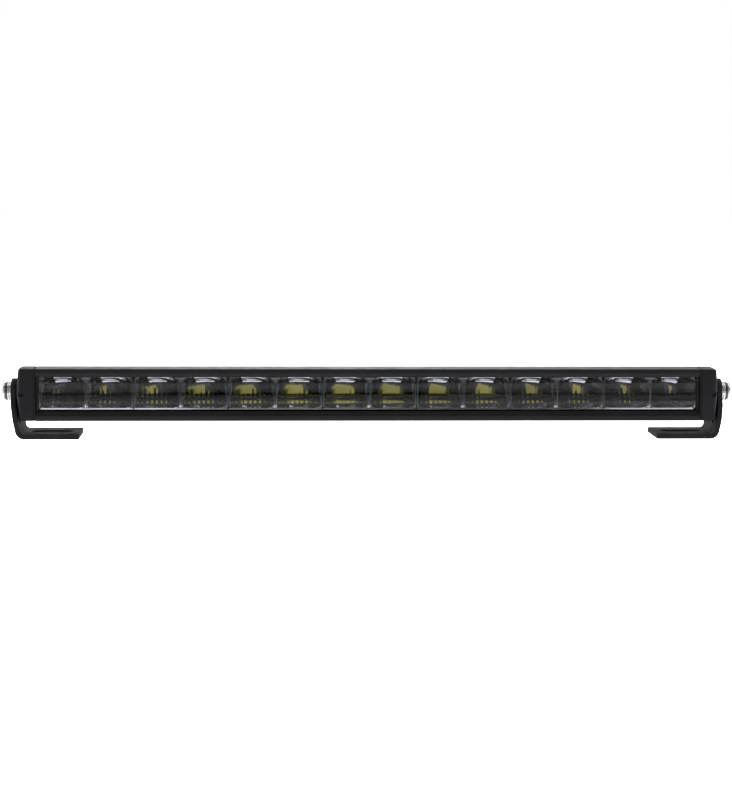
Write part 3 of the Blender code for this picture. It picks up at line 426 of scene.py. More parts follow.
def mirror_with_painted_shade():
    """The reflectors' mirror coat, with painted shade: full colour on the bowls and the lip, darkened on
    the walls, the frame, the bottom corners and the join between the pillow rows.
    """
    finish = metal("reflector_chrome", (0.86, 0.86, 0.875), (0.03, 0.07), (160, 160, 160), 0.05)
    place = finish.add("ShaderNodeSeparateXYZ", {0: finish.place}).outputs
    normal = finish.add("ShaderNodeTexCoord").outputs["Normal"]
    facing = finish.add("ShaderNodeSeparateXYZ", {0: normal}).outputs["Y"]
    across = finish.math("FRACT", finish.math("DIVIDE", place["X"], CELL_PITCH * MM))
    off_middle = finish.math("ABSOLUTE", finish.math("SUBTRACT", across, 0.5))
    aside = finish.math("MULTIPLY", off_middle, CELL_PITCH)
    depth = finish.math("DIVIDE", finish.math("SUBTRACT", place["Y"], FRONT_Y), MM)
    height = finish.math("DIVIDE", finish.math("SUBTRACT", place["Z"], MIDDLE_Z), MM)
    above_lip = finish.spread(height, 0, 1, FLOOR - 0.1, FLOOR + 0.1)
    above_peaks = finish.spread(height, 0, 1, FLOOR + GUSSET[1], FLOOR + GUSSET[1] + 0.7)
    below_middle = finish.spread(height, 1, 0, 1.0, 3.5)
    at_frame = finish.spread(depth, 1, 0, *FRAME_DEPTH)
    behind_frame = finish.spread(depth, 0, 1, *FRAME_DEPTH)
    above_join = finish.spread(height, 0, 1, *ROW_JOIN[:2])
    below_join = finish.spread(height, 1, 0, *ROW_JOIN[2:])
    # Painted shade: masks that darken the walls, the frame's edge and its flat front, the bottom corners
    # behind the frame, and the join between the pillow rows.
    walls = finish.math("MULTIPLY", finish.spread(aside, 0, WALL_SHADE, 11.0, 14.0), above_peaks)
    frame_edge = finish.chain("MULTIPLY", FRAME_SHADE, at_frame, above_peaks)
    flat_front = finish.spread(facing, FRAME_SHADE, 0, -0.99, -0.95)
    frame_face = finish.chain("MULTIPLY", flat_front, at_frame, above_lip)
    side_zone = finish.spread(aside, 0, CORNER_SHADE, 6.5, 10.0)
    corners = finish.chain("MULTIPLY", side_zone, behind_frame, above_lip, below_middle)
    join = finish.chain("MULTIPLY", ROW_SHADE, above_join, below_join)
    painted_shade = finish.chain("MAXIMUM", walls, frame_edge, frame_face, corners, join)
    # The painted shade scales the mirror's base colour down.
    socket = finish.shader.inputs["Base Color"]
    links = {0: socket.links[0].from_socket, "Scale": finish.math("SUBTRACT", 1.0, painted_shade)}
    finish.feed(socket, finish.add("ShaderNodeVectorMath", links, operation="SCALE").outputs[0])
    return finish


def moulded(name, colour, rough=(0.4, 0.55), grain=1800.0, bump=0.15):
    """A plastic or rubber moulding with a fine spark-eroded texture."""
    finish = Finish(name)
    pale = tuple(min(1.0, 1.25 * channel + 0.004) for channel in colour)
    finish.set(Base_Color=finish.blend(finish.spread(finish.noise(60.0, 4.0), 0, 1), colour, pale))
    finish.set(Roughness=finish.spread(finish.noise(200.0), *rough), Specular_IOR_Level=0.25)
    finish.bump(finish.noise(grain, 2.0), bump, 0.04 * MM)
    return finish


def clear_lens():
    """Clear polycarbonate: see-through, with a mirror reflection that grows at grazing angles."""
    finish = Finish("lens_clear")
    tree = finish.tree
    smear = finish.spread(finish.noise(9.0, 5.0), 0.02, 0.05)
    gloss = finish.add("ShaderNodeBsdfGlossy", {"Color": (1, 1, 1, 1), "Roughness": smear})
    through = finish.add("ShaderNodeBsdfTransparent", {"Color": (0.95, 0.955, 0.97, 1)})
    fresnel = finish.add("ShaderNodeFresnel", {"IOR": 1.32}).outputs[0]
    mixed = finish.add("ShaderNodeMixShader", {0: fresnel, 1: through.outputs[0], 2: gloss.outputs[0]})
    tree.nodes.remove(finish.shader)
    output = next(node for node in tree.nodes if node.type == "OUTPUT_MATERIAL")
    tree.links.new(mixed.outputs[0], output.inputs["Surface"])
    return finish


def make_finishes():
    black = coated(
        "powder_coat", (0.0078, 0.0076, 0.0088), (0.0105, 0.0102, 0.0115), (0.36, 0.44), 1500.0, 0.22
    )
    cast = coated("cast_coat", (0.006, 0.0057, 0.0072), (0.0085, 0.008, 0.01), (0.44, 0.54), 1100.0, 0.35)
    plate = coated(
        "bracket_coat", (0.009, 0.009, 0.0102), (0.0125, 0.0125, 0.014), (0.6, 0.7), 1300.0, 0.35
    )
    chrome = mirror_with_painted_shade()
    turned_steel = metal("stainless", (0.74, 0.735, 0.73), (0.16, 0.3), (5200, 500, 500), 0.25)
    spring = metal("spring_steel", (0.1, 0.1, 0.105), (0.3, 0.42), (4000, 700, 700), 0.2)
    can = metal("capacitor_can", (0.6, 0.6, 0.61), (0.25, 0.35), (600, 3000, 600), 0.1)
    return {
        "powder_coat": black,
        "cast_coat": cast,
        "bracket_coat": plate,
        "reflector_chrome": chrome,
        "stainless": turned_steel,
        "spring_steel": spring,
        "capacitor_can": can,
        "seal_rubber": moulded("seal_rubber", (0.006, 0.006, 0.006), (0.7, 0.85)),
        "nylon": moulded("nylon", (0.02, 0.02, 0.021), (0.38, 0.5)),
        "ferrite": moulded("ferrite", (0.05, 0.05, 0.052), (0.55, 0.7)),
        "thermal_pad": moulded("thermal_pad", (0.4, 0.42, 0.45), (0.8, 0.95)),
        "driver_board": moulded("driver_board", (0.02, 0.12, 0.05), (0.3, 0.42)),
        "lead_red": moulded("lead_red", (0.14, 0.008, 0.008), (0.4, 0.5)),
        "lead_black": moulded("lead_black", (0.015, 0.015, 0.015), (0.4, 0.5)),
        "package": moulded("led_package", (0.02, 0.02, 0.02), (0.4, 0.5)),
        "led_phosphor": moulded("led_phosphor", (0.72, 0.65, 0.1), (0.3, 0.4), 3500.0, 0.1),
        "led_board": moulded("led_board", (0.007, 0.007, 0.008), (0.4, 0.5), 2500.0, 0.1),
        "lens_clear": clear_lens(),
    }


# --------------------------------------------------------------------- housing


def fin_tip(height):
    return FIN_TIP_DEPTH - FIN_TIP_BOW * height * height


def shoulder_height(depth):
    return TOP + (depth - TOP_FLAT) / (SHOULDER[0] - TOP_FLAT) * (SHOULDER[1] - TOP)


def housing_outline():
    """The extrusion's outline with every corner eased, as it leaves the die."""
    upper = [(TOP_FLAT, TOP, 2.0)]
    for groove in GROOVES:
        start, end = groove - 0.55, groove + 0.55
        upper += [(start, shoulder_height(start), 0.15), (start, shoulder_height(start) - 0.7, 0.2)]
        upper += [(end, shoulder_height(end) - 0.7, 0.2), (end, shoulder_height(end), 0.15)]
    lower = [(depth, -height, radius) for depth, height, radius in reversed(upper)]
    fins = []
    for index in range(7):
        height = (3 - index) * FIN_PITCH
        tip = fin_tip(height)
        root = 0.0 if index == 0 else 0.5
        fins += [(37.0, height + 1.1, root), (tip, height + 0.75, 0.5)]
        fins += [(tip, height - 0.75, 0.5), (37.0, height - 1.1, 0.0 if index == 6 else 0.5)]
    window_top = [(3.0, WINDOW_TOP, 0.2), (2.2, WINDOW_TOP, 0.35), (0.0, 16.5, 0.3)]
    window_bottom = [(0.0, -16.0, 0.3), (2.2, WINDOW_BOTTOM, 0.35), (3.0, WINDOW_BOTTOM, 0.2)]
    corners = window_top + [(0.0, TOP, 1.1)] + upper + fins + lower + [(0.0, -TOP, 1.1)] + window_bottom
    lens_seat_bottom = [(3.0, -15.2, 0.1), (7.7, -15.2, 0.1), (7.7, -13.4, 0.1), (8.9, -13.4, 0.1)]
    chamber_bottom = [(8.9, -17.0, 0.3), (27.6, -17.0, 0.3), (27.6, -14.6, 0.1), (31.1, -14.6, 0)]
    board_rib_bottom = [(31.1, -12.4, 0), (31.9, -12.4, 0), (31.9, -14.6, 0)]
    back_wall = [(34.1, -14.6, 0.2), (34.1, 14.6, 0.2)]
    board_rib_top = [(31.9, 14.6, 0), (31.9, 12.4, 0), (31.1, 12.4, 0)]
    chamber_top = [(31.1, 14.6, 0), (27.6, 14.6, 0.1), (27.6, 16.7, 0.3), (8.9, 16.7, 0.3)]
    lens_seat_top = [(8.9, 14.2, 0.1), (7.7, 14.2, 0.1), (7.7, 16.2, 0.1), (3.0, 16.2, 0.1)]
    corners += lens_seat_bottom + chamber_bottom + board_rib_bottom + back_wall
    corners += board_rib_top + chamber_top + lens_seat_top
    return fillet(corners, steps=4)


def port_rods(radius, reach, steps):
    """One rod along the bar in each screw port's place."""
    profile = [(radius, -reach), (radius, reach)]
    return [turned(profile, steps, (0, *port), (1, 0, 0)) for port in SCREW_PORTS]


def make_housing():
    body = prism_along_x(housing_outline(), -HOUSING_HALF, HOUSING_HALF)
    reach = HOUSING_HALF - 0.05
    body = carved(body, *port_rods(PORT_RADIUS, reach, 32), operation="UNION")
    recess = softened(block(*RECESS), 2.0, 4)
    holes = [turned([(6.2, -6), (6.2, 6)], 32, (GLAND_X, RECESS_FLOOR, 0), (0, 1, 0))]
    holes.append(turned([(3.2, -6), (3.2, 6)], 24, (VENT_X, RECESS_FLOOR, 0), (0, 1, 0)))
    body = carved(body, recess, *holes, *port_rods(PORT_HOLE, reach + 1, 24))
    piece("housing_shell", body, LOOKS["powder_coat"].material, ["housing"], smooth=28)


# -------------------------------------------------------------------- end caps


def cap_outline(inset=0.0):
    top_fin = 3 * FIN_PITCH
    upper = [(TOP_FLAT, TOP - inset, 2.0), (SHOULDER[0], SHOULDER[1] + 0.9 - inset, 3.0)]
    upper.append((fin_tip(top_fin) - inset, 15.2 - inset, 2.0))
    back = [(fin_tip(height) - inset, height, 0) for height in (9.6, 4.8, 0, -4.8, -9.6)]
    lower = [(x, -y, r) for x, y, r in reversed(upper)]
    front = [(inset, inset - TOP, 1.5), (inset, TOP - inset, 1.5)]
    return fillet(front + upper + back + lower, steps=5)


def cap_slope(direction):
    return 0.24 - 0.09 * max(0, direction.y)


def cap_rings(side):
    """From the gasket face, over the rounded edge and the sloping face, to the pivot boss and its bore."""
    axis = Vector(PIVOT)
    outline = even(cap_outline(), 1.6)
    directions = [(point - axis).normalized() for point in outline]
    reaches = [(point - axis).length for point in outline]
    shelf = [BOSS_X - (r - CAP_ROUNDING - BOSS_RADIUS) * cap_slope(d) for r, d in zip(reaches, directions)]

    def ring(radii, places):
        points = [axis + d * r for d, r in zip(directions, radii)]
        return [(side * x, p.x, p.y) for p, x in zip(points, places)]

    count = len(outline)
    rings = [ring([r - 0.15 for r in reaches], [CAP_START] * count)]
    rings.append(ring(reaches, [CAP_START + 0.15] * count))
    rings.append(ring(reaches, [CAP_EDGE] * count))
    for step in range(1, 9):
        turn = math.radians(90 * step / 8)
        inward = CAP_ROUNDING * (1 - math.cos(turn))
        places = [CAP_EDGE + (top - CAP_EDGE) * math.sin(turn) for top in shelf]
        rings.append(ring([r - inward for r in reaches], places))
    for share in (0.25, 0.5, 0.75, 0.93):
        radii = [(r - CAP_ROUNDING) * (1 - share) + BOSS_RADIUS * share for r in reaches]
        places = [top * (1 - share) + BOSS_X * share for top in shelf]
        rings.append(ring(radii, places))
    rings.append(ring([BOSS_RADIUS - 0.4] * count, [BOSS_X] * count))
    rings.append(ring([4.7] * count, [BOSS_X] * count))
    rings.append(ring([4.3] * count, [BOSS_X - 0.4] * count))
    rings.append(ring([4.3] * count, [258.6] * count))
    return rings


def make_end_cap(side, word):
    outward = (side, 0, 0)
    cap = add_rings(bmesh.new(), cap_rings(side))
    tools = []
    for depth, height in SCREW_PORTS:
        seat = [(1.8, -8.0), (1.8, 0), (3.1, 0), (3.1, 12.0)]
        tools.append(turned(seat, 32, (side * 262, depth, height), outward))
    dimple = [(0, -2.4), (1.6, -2.3), (2.2, -1.9), (2.35, -1.2), (2.5, 0.6), (0, 0.6)]
    tools.append(turned(dimple, 32, (side * 265.6, 0, PIVOT[1]), (0, -1, 0)))
    for (near, far), (low, high) in CAP_POCKETS:
        xs = sorted((side * (CAP_START - 1), side * (CAP_START + 4)))
        tools.append(block((xs[0], near, low), (xs[1], far, high)))
    cap = carved(cap, *tools)
    piece(f"cap_{word}", cap, LOOKS["cast_coat"].material, [f"end_cap_{word}"], smooth=32)


def make_gasket(side, word):
    outline = [Vector(p) for p in cap_outline(0.15)]
    window = fillet([(9.5, -12.6, 1.5), (9.5, 12.6, 1.5), (33.5, 12.6, 1.5), (33.5, -12.6, 1.5)], 5)
    holes = [window]
    for depth, height in SCREW_PORTS:
        turns = [math.tau * step / 24 for step in range(24)]
        holes.append([Vector((depth + 1.8 * math.cos(t), height + 1.8 * math.sin(t))) for t in turns])
    flat = blank(outline, holes, 0.8, 0.2)
    middle = side * (HOUSING_HALF + 0.7)
    stand = Matrix(((0, 0, 1, middle), (1, 0, 0, 0), (0, 1, 0, 0), (0, 0, 0, 1)))
    bmesh.ops.transform(flat, matrix=stand, verts=flat.verts)
    piece(f"gasket_{word}", flat, LOOKS["seal_rubber"].material, [f"end_gasket_{word}"])


def make_cap_screws(side, word):
    """Button-head screws, each with a chamfered hexagon socket."""
    outward = (side, 0, 0)
    profile = [(0, 2.2), (1.3, 2.2), (1.9, 2.02), (2.35, 1.6), (2.62, 1.1), (2.7, 0.5), (2.7, 0.12)]
    profile += [(2.6, 0), (1.3, 0), (1.3, -15.5), (0.9, -16.0), (0, -16.0)]
    for index, (depth, height) in enumerate(SCREW_PORTS):
        place = (side * 262.3, depth, height)
        screw = turned(profile, 32, place, outward)
        socket = hexagon(1.0, place, outward, 1.1, 3.0)
        screw = carved(screw, socket, hexagon(1.0, place, outward, 2.0, 2.4, 0.4))
        name = f"end_cap_screw_{word}_{index + 1}"
        piece(f"fine_{name}", screw, LOOKS["stainless"].material, [name])


# -------------------------------------------------------------------- brackets


def bracket_line():
    """The bent plate's centreline in (x, z from the foot's underside), from the foot's inner end up."""
    middle = ARM_OUTER_X - PLATE / 2
    heel = middle - (25.8 - PLATE / 2) * math.tan(math.radians(12))
    corners = [(222.0, PLATE / 2, 0), (heel, PLATE / 2, 5.05), (middle, 25.8, 10.0), (middle, 48.0, 0)]
    return fillet(corners, steps=14)


class Bend:
    """Places along the blank, where the plate is bent afterwards."""

    def __init__(self):
        self.line = bracket_line()
        self.stations = [0.0]
        for start, end in zip(self.line, self.line[1:]):
            self.stations.append(self.stations[-1] + (end - start).length)

    def at_x(self, x):
        return x - self.line[0].x

    def at_height(self, height):
        """The station of this height above the middle of the body, on the arm."""
        z = height + MIDDLE_Z / MM
        for index in range(len(self.line) - 1, 0, -1):
            low, high = self.line[index - 1], self.line[index]
            if low.y <= z <= high.y and high.y > low.y + 1e-6:
                share = (z - low.y) / (high.y - low.y)
                return self.stations[index - 1] + share * (self.stations[index] - self.stations[index - 1])
        return self.stations[-1]

    def place(self, station, side_step):
        """The (x, z) of a station, moved sideways off the centreline."""
        index = 1
        while index < len(self.stations) - 1 and self.stations[index] < station:
            index += 1
        low, high = self.stations[index - 1], self.stations[index]
        share = (station - low) / (high - low)
        point = self.line[index - 1].lerp(self.line[index], share)
        normal = self.normal(index - 1).lerp(self.normal(index), min(1, max(0, share))).normalized()
        return point + normal * side_step

    def normal(self, index):
        before = self.line[max(index - 1, 0)]
        after = self.line[min(index + 1, len(self.line) - 1)]
        along = (after - before).normalized()
        return Vector((-along.y, along.x))


def make_bracket(side, word):
    bend = Bend()
    depth, height = PIVOT
    outline = [(0, 0, 2.5), (bend.at_height(-19), 0, 9), (bend.at_height(-4), depth - 10, 9)]
    top = bend.at_height(height + 10)
    outline += [(top, depth - 10, 9.99), (top, depth + 10, 9.99)]
    outline += [(bend.at_height(-4), depth + 10, 9), (bend.at_height(-19), 44, 9), (0, 44, 2.5)]
    slot_start, slot_end = bend.at_x(228), bend.at_x(260)
    near, far, end = SLOT_DEPTH - SLOT_HALF, SLOT_DEPTH + SLOT_HALF, SLOT_HALF - 0.01
    slot = [(slot_start, near, end), (slot_end, near, end), (slot_end, far, end), (slot_start, far, end)]
    holes = [fillet(slot, 12)]
    turns = [math.tau * step / 48 for step in range(48)]
    for centre, radius in (((bend.at_height(height), depth), 4.5), ((bend.at_height(-19.8), 12.0), 4.0)):
        holes.append([Vector(centre) + radius * Vector((math.cos(t), math.sin(t))) for t in turns])
    plate = blank(even(fillet(outline, 12), 6.0), holes, PLATE, 0.35)
    for station in bend.stations[1:-1]:
        whole = plate.verts[:] + plate.edges[:] + plate.faces[:]
        bmesh.ops.bisect_plane(
            plate, geom=whole, plane_co=(station, 0, 0), plane_no=(1, 0, 0), dist=0.001
        )
    foot = -MIDDLE_Z / MM
    for vert in plate.verts:
        placed = bend.place(vert.co.x, vert.co.z)
        vert.co = (side * placed.x, vert.co.y, placed.y + foot)
    name = f"bracket_{word}"
    piece(f"plate_{word}", plate, LOOKS["bracket_coat"].material, [name], name, smooth=40)


# ------------------------------------------------------------- pivot hardware


def washer(place, outward, inner, outer, thickness):
    ease = 0.15
    profile = [(inner, ease), (inner + ease, 0), (outer - 0.3, 0), (outer - 0.08, 0.1), (outer, 0.35)]
    profile += [(outer, thickness - 0.35), (outer - 0.08, thickness - 0.1), (outer - 0.3, thickness)]
    profile += [(inner + ease, thickness), (inner, thickness - ease)]
    return turned(profile, 72, place, outward, closed=True)


def make_pivot_hardware(side, word):
    outward = (side, 0, 0)
    steel = LOOKS["stainless"].material
    near_end = int(side < 0)
    for which in ("inner", "outer"):
        name = f"flat_washer_{which}_{word}"
        x = abs(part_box(name)[near_end].x) / MM
        ring = washer((side * x, *PIVOT), outward, 4.3, 7.5, 1.3)
        piece(f"fine_{name}", ring, steel, [name])
    spring_x = abs(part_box(f"spring_washer_{word}")[near_end].x) / MM
    spring = washer((side * spring_x, *PIVOT), outward, 4.3, 7.2, 1.6)
    split = block((-3, -3, -0.5), (3, 3, 0.5))
    gap = Matrix.Translation((side * (spring_x + 0.8), PIVOT[0] + 5.9, PIVOT[1]))
    bmesh.ops.transform(split, matrix=gap @ Matrix.Rotation(0.5, 4, "Y"), verts=split.verts)
    name = f"spring_washer_{word}"
    piece(f"fine_{name}", carved(spring, split), LOOKS["spring_steel"].material, [name])
    make_bolt(side, word, spring_x + 1.8)


def make_bolt(side, word, seat):
    """An M8 button-head bolt with its hexagon socket."""
    outward = (side, 0, 0)
    profile = [(0, 3.2), (3.3, 3.2)]
    for step in range(1, 10):
        turn = math.radians(90 * step / 9)
        profile.append((3.4 + 3.4 * math.sin(turn), 0.9 + 2.3 * math.cos(turn)))
    profile += [(6.8, 0.2), (6.6, 0), (4.0, 0), (4.0, 259.9 - seat), (3.3, 259.2 - seat), (0, 259.2 - seat)]
    place = (side * seat, *PIVOT)
    bolt = turned(profile, 64, place, outward)
    socket = hexagon(2.5, place, outward, 1.0, 5.0)
    chamfer = hexagon(2.2, place, outward, 2.8, 3.4, 0.7)
    bolt = carved(bolt, socket, chamfer)
    name = f"pivot_bolt_{word}"
    piece(f"fine_{name}", bolt, LOOKS["stainless"].material, [name])


# ------------------------------------------------------------ lens and optics


def make_lens():
    low, high = (Vector(corner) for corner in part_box("front_lens"))
    to_mm = TO_WORLD.inverted()
    slab = softened(block(to_mm @ low, to_mm @ high), 0.25, 2)
    piece("lens", slab, LOOKS["lens_clear"].material, ["front_lens"])


def make_lens_seal():
    half, inner = HOUSING_HALF - 0.2, HOUSING_HALF - 2.4
    outer = fillet([(-half, -14.9, 1), (half, -14.9, 1), (half, 15.9, 1), (-half, 15.9, 1)], 4)
    hole = fillet([(-inner, -13.0, 1), (inner, -13.0, 1), (inner, 14.0, 1), (-inner, 14.0, 1)], 4)
    flat = blank(outer, [hole], 0.8, 0.2)
    stand = Matrix(((1, 0, 0, 0), (0, 0, -1, 3.7), (0, 1, 0, 0), (0, 0, 0, 1)))
    bmesh.ops.transform(flat, matrix=stand, verts=flat.verts)
    piece("lens_gasket", flat, LOOKS["seal_rubber"].material, ["lens_seal"])


def smooth_step(value, start, end):
    share = min(1.0, max(0.0, (value - start) / (end - start)))
    return share * share * (3 - 2 * share)


def pillow(place, pitch):
    """A convex bulge, repeated every pitch: 1 on its crest and 0 in the valleys."""
    share = place / pitch
    offset = share - math.floor(share) - 0.5
    return 1 - 4 * offset * offset


def flutes(x, drop):
    """Optics of the bowl's lower half: upright flutes that deepen downwards, then two rows of pillows."""
    slope = FLUTE_SLOPE * max(0.0, drop - FLUTE_START)
    bulge = slope * FLUTE_PITCH / 4 * pillow(x, FLUTE_PITCH)
    started = smooth_step(drop, ROWS_START - 0.3, ROWS_START + 0.3)
    return -(bulge + started * ROW_BULGE * pillow(drop - ROWS_START, ROW_PITCH))


def bowl_hollow(cell, half):
    """The space in front of one bowl, as a closed solid: a fine grid for the mirror, flat elsewhere."""
    solid = bmesh.new()
    columns, rows = 111, 91
    top, bottom, front = 14.2, -13.2, 8.0
    grid = []
    for row in range(rows):
        height = top + (bottom - top) * row / (rows - 1)
        drop = FOCUS[1] + BOWL_SHIFT[2] - height
        line = []
        for column in range(columns):
            x = -half + 2 * half * column / (columns - 1)
            reach = ((x - BOWL_SHIFT[0]) ** 2 + drop * drop) / (4 * FOCAL)
            depth = FOCUS[0] + BOWL_SHIFT[1] + FOCAL - reach + flutes(x, drop)
            line.append(solid.verts.new((cell + x, max(depth, front + 0.5), height)))
        grid.append(line)
    for above, below in zip(grid, grid[1:]):
        for index in range(columns - 1):
            solid.faces.new((above[index], above[index + 1], below[index + 1], below[index]))
    corners = [[solid.verts.new((cell + s * half, front, z)) for s in (-1, 1)] for z in (top, bottom)]
    solid.faces.new(grid[0][::-1] + corners[0])
    solid.faces.new(grid[-1] + corners[1][::-1])
    solid.faces.new([line[0] for line in grid] + [corners[1][0], corners[0][0]])
    solid.faces.new([line[-1] for line in grid][::-1] + [corners[0][1], corners[1][1]])
    solid.faces.new(corners[0] + corners[1][::-1])
    return solid


def arch(cell, depth):
    """The outline round a bowl at this depth. The arch narrows towards the back, so that its walls show."""
    half = CELL_PITCH / 2 - CELL_WALL - ARCH_TAPER * (depth - TUNNEL_START)
    foot, shoulder = half - GUSSET[0], FLOOR + GUSSET[1]
    corners = [(half, shoulder, 0.4), (half, ROOF, ARCH_RADIUS), (-half, ROOF, ARCH_RADIUS)]
    corners += [(-half, shoulder, 0.4), (-foot, FLOOR, 0.4), (foot, FLOOR, 0.4)]
    return [(cell + p.x, depth, p.y) for p in fillet(corners, steps=10)]


def tunnel(cell):
    """The moulding's arch round one bowl: rounded top corners, and gussets in the bottom corners."""
    return add_rings(bmesh.new(), [arch(cell, TUNNEL_START), arch(cell, TUNNEL_END)])


def peak(middle, left, right):
    """A low pointed stud on the lip, where two cells meet. At a moulding's end it is half a stud."""

    def ring(depth, inset, low, high):
        reach = [max(0.02, side - inset) if side else 0.0 for side in (right, left)]
        return [(middle + reach[0], depth, low), (middle, depth, high), (middle - reach[1], depth, low)]

    rings = [ring(8.81, 1.3, FLOOR + 0.3, FLOOR + 2.1), ring(9.23, 0.0, FLOOR - 0.1, FLOOR + 3.0)]
    return add_rings(bmesh.new(), rings)


def reflector_section():
    """The moulding's (depth, height) outline: its lip, its front, and its back that follows the bowl."""
    lip = [(LIP_FRONT + out, LIP_BOTTOM + up) for out, up in ((0, 0), (0.13, 0.5), (0.28, 1.0))]
    front = [(LIP_FRONT + 0.42, FLOOR + 0.4), (LIP_FRONT, FLOOR + 1.0), (LIP_FRONT, MOULDING_TOP)]
    vertex = FOCUS[0] + BOWL_SHIFT[1] + FOCAL + SHELL
    back = []
    for index in range(24):
        height = MOULDING_TOP - 1.1 * index
        back.append((vertex - BACK_CURVE * (FOCUS[1] - height) ** 2 / (4 * FOCAL), height))
    back.append((back[-1][0], LIP_BOTTOM))
    return [Vector(point) for point in lip + front + back]


def roof_windows(cell):
    """The opening in a cell's roof, round the tab that stands before the source."""
    windows = [block((cell - ROOF_OPENING, TAB_END, 12.0), (cell + ROOF_OPENING, 32.0, 15))]
    for low, high in ((-ROOF_OPENING, -TAB_HALF), (TAB_HALF, ROOF_OPENING)):
        windows.append(block((cell + low, 10.1, 12.0), (cell + high, TAB_END + 1, 15)))
    return windows


def make_reflectors():
    """Seven mirrored mouldings of two cells each, all alike."""
    half = CELL_PITCH - 0.5
    body = prism_along_x(reflector_section(), -half, half)
    cells = (-CELL_PITCH / 2, CELL_PITCH / 2)
    bowls = [bowl_hollow(cell, CELL_PITCH / 2) for cell in cells]
    hollows = [carved(bowl, tunnel(cell), operation="INTERSECT") for bowl, cell in zip(bowls, cells)]
    windows = [window for cell in cells for window in roof_windows(cell)]
    body = carved(body, *hollows, *windows)
    peaks = [peak(-half, 0.0, 3.0), peak(0.0, 3.4, 3.4), peak(half, 3.0, 0.0)]
    body = carved(body, *peaks, operation="UNION")
    body.normal_update()
    front, low, high = FRAME_DEPTH[0] + 0.2, FLOOR + GUSSET[1], ROOF - 0.2
    rim = [e for e in body.edges if all(v.co.y < front and low < v.co.z < high for v in e.verts)]
    rim = [e for e in rim if len(e.link_faces) == 2 and e.calc_face_angle() > math.radians(50)]
    bmesh.ops.bevel(
        body, geom=rim, offset=0.35, segments=2, profile=0.5, affect="EDGES", clamp_overlap=True
    )
    material = LOOKS["reflector_chrome"].material
    module = piece("mirror_1", body, material, ["reflector_1"], smooth=35)
    first = -(CELLS - 2) / 2 * CELL_PITCH
    module.data.transform(Matrix.Translation((first * MM, 0, 0)))
    for index in range(1, CELLS // 2):
        copy = bpy.data.objects.new(f"mirror_{index + 1}", module.data)
        bpy.context.scene.collection.objects.link(copy)
        copy.location = (2 * index * CELL_PITCH * MM, 0, 0)
        declared(copy, [f"reflector_{index + 1}"], "lamp")


def make_leds():
    """Each source: a dark package with eased edges, and its phosphor face looking down."""
    for index in range(CELLS):
        x = (index + 0.5 - CELLS / 2) * CELL_PITCH + LED_OFFSET
        y, z = FOCUS
        package = softened(block((x - 2.5, y - 2.5, z + 0.3), (x + 2.5, y + 2.5, z + 1.29)), 0.15, 2)
        face = softened(block((x - 1.4, y - 1.8, z + 0.02), (x + 1.4, y + 1.8, z + 0.5)), 0.15, 3)
        name = f"led_{index + 1}"
        piece(f"package_{index + 1}", package, LOOKS["package"].material, [name])
        piece(f"phosphor_{index + 1}", face, LOOKS["led_phosphor"].material, [name])


# ----------------------------------------------------------- gland and vent


def make_gland():
    y0, nylon = GLAND_SEAT, LOOKS["nylon"].material
    place, back = (GLAND_X, y0, 0), (0, 1, 0)
    tube = [(3.2, 12), (5.5, 12), (5.8, 11.7)]
    tube += [(5.8 - 0.25 * (step % 2), 11.4 - 0.5 * step) for step in range(15)]
    tube += [(5.8, 0.5), (5.8, -6.3), (5.5, -6.6), (3.2, -6.6)]
    body = turned(tube, 48, place, back, closed=True)
    nut = carved(hexagon(8.2, place, back, 0, 4), turned([(4.5, -1), (4.5, 5)], 32, place, back))
    around = [(9.9, -0.01), (9.9, 3.2), (8.4, 4.01), (8.4, 9), (20, 9), (20, -0.01)]
    cone = turned(around, 48, place, back, closed=True)
    body = carved(body, softened(carved(nut, cone), 0.2, 2), operation="UNION")
    piece("gland_core", body, nylon, ["gland_body"])

    start = y0 + 4.3
    length = 60 - start

    def grip(radius, along, turn):
        """Shallow grip flutes round the nut's barrel."""
        fade = smooth_step(along, 0.4, 1.6) * (1 - smooth_step(along, length - 8, length - 5.5))
        return radius - 0.55 * fade * max(0.0, math.cos(12 * turn)) ** 2 if radius > 7 else radius

    profile = [(5.0, length - 0.2), (5.2, length), (6.0, length), (6.5, length - 0.4), (7.3, length - 2.6)]
    profile += [(7.9, length - 4.6), (8.0, length - 5.6), (8.0, length - 7.6), (8.0, 5.0), (8.0, 2.6)]
    profile += [(8.0, 1.0), (8.0, 0.4), (7.7, 0), (6.1, 0), (6.1, 9.5), (5.0, 12.5)]
    nut = turned(profile, 144, (GLAND_X, start, 0), back, closed=True, radius_at=grip)
    piece("gland_cap", nut, nylon, ["gland_nut"])

    end = length - 8.6
    seal = [(3.2, end), (4.3, end), (4.6, end - 0.3), (4.6, 1.6), (5.3, 0.4), (5.3, 0), (3.2, 0)]
    ring = turned(seal, 48, (GLAND_X, y0 + 12.3, 0), back, closed=True)
    piece("gland_grommet", ring, LOOKS["seal_rubber"].material, ["gland_seal"])


def make_vent():
    place, back = (VENT_X, GLAND_SEAT, 0), (0, 1, 0)
    profile = [(0, 3.3), (1.6, 3.3), (1.9, 3.6), (3.4, 3.6), (4.4, 3.3), (5.0, 2.7), (5.2, 2.0), (5.2, 0.3)]
    profile += [(4.9, 0), (3.0, 0), (3.0, -2.3), (2.7, -2.6), (0, -2.6)]

    def knurl(radius, along, turn):
        return radius - 0.22 * max(0.0, math.cos(18 * turn)) if radius > 4.9 else radius

    vent = turned(profile, 144, place, back, radius_at=knurl)
    piece("vent", vent, LOOKS["nylon"].material, ["breather_vent"])


# ------------------------------------------------------- carried-over solids


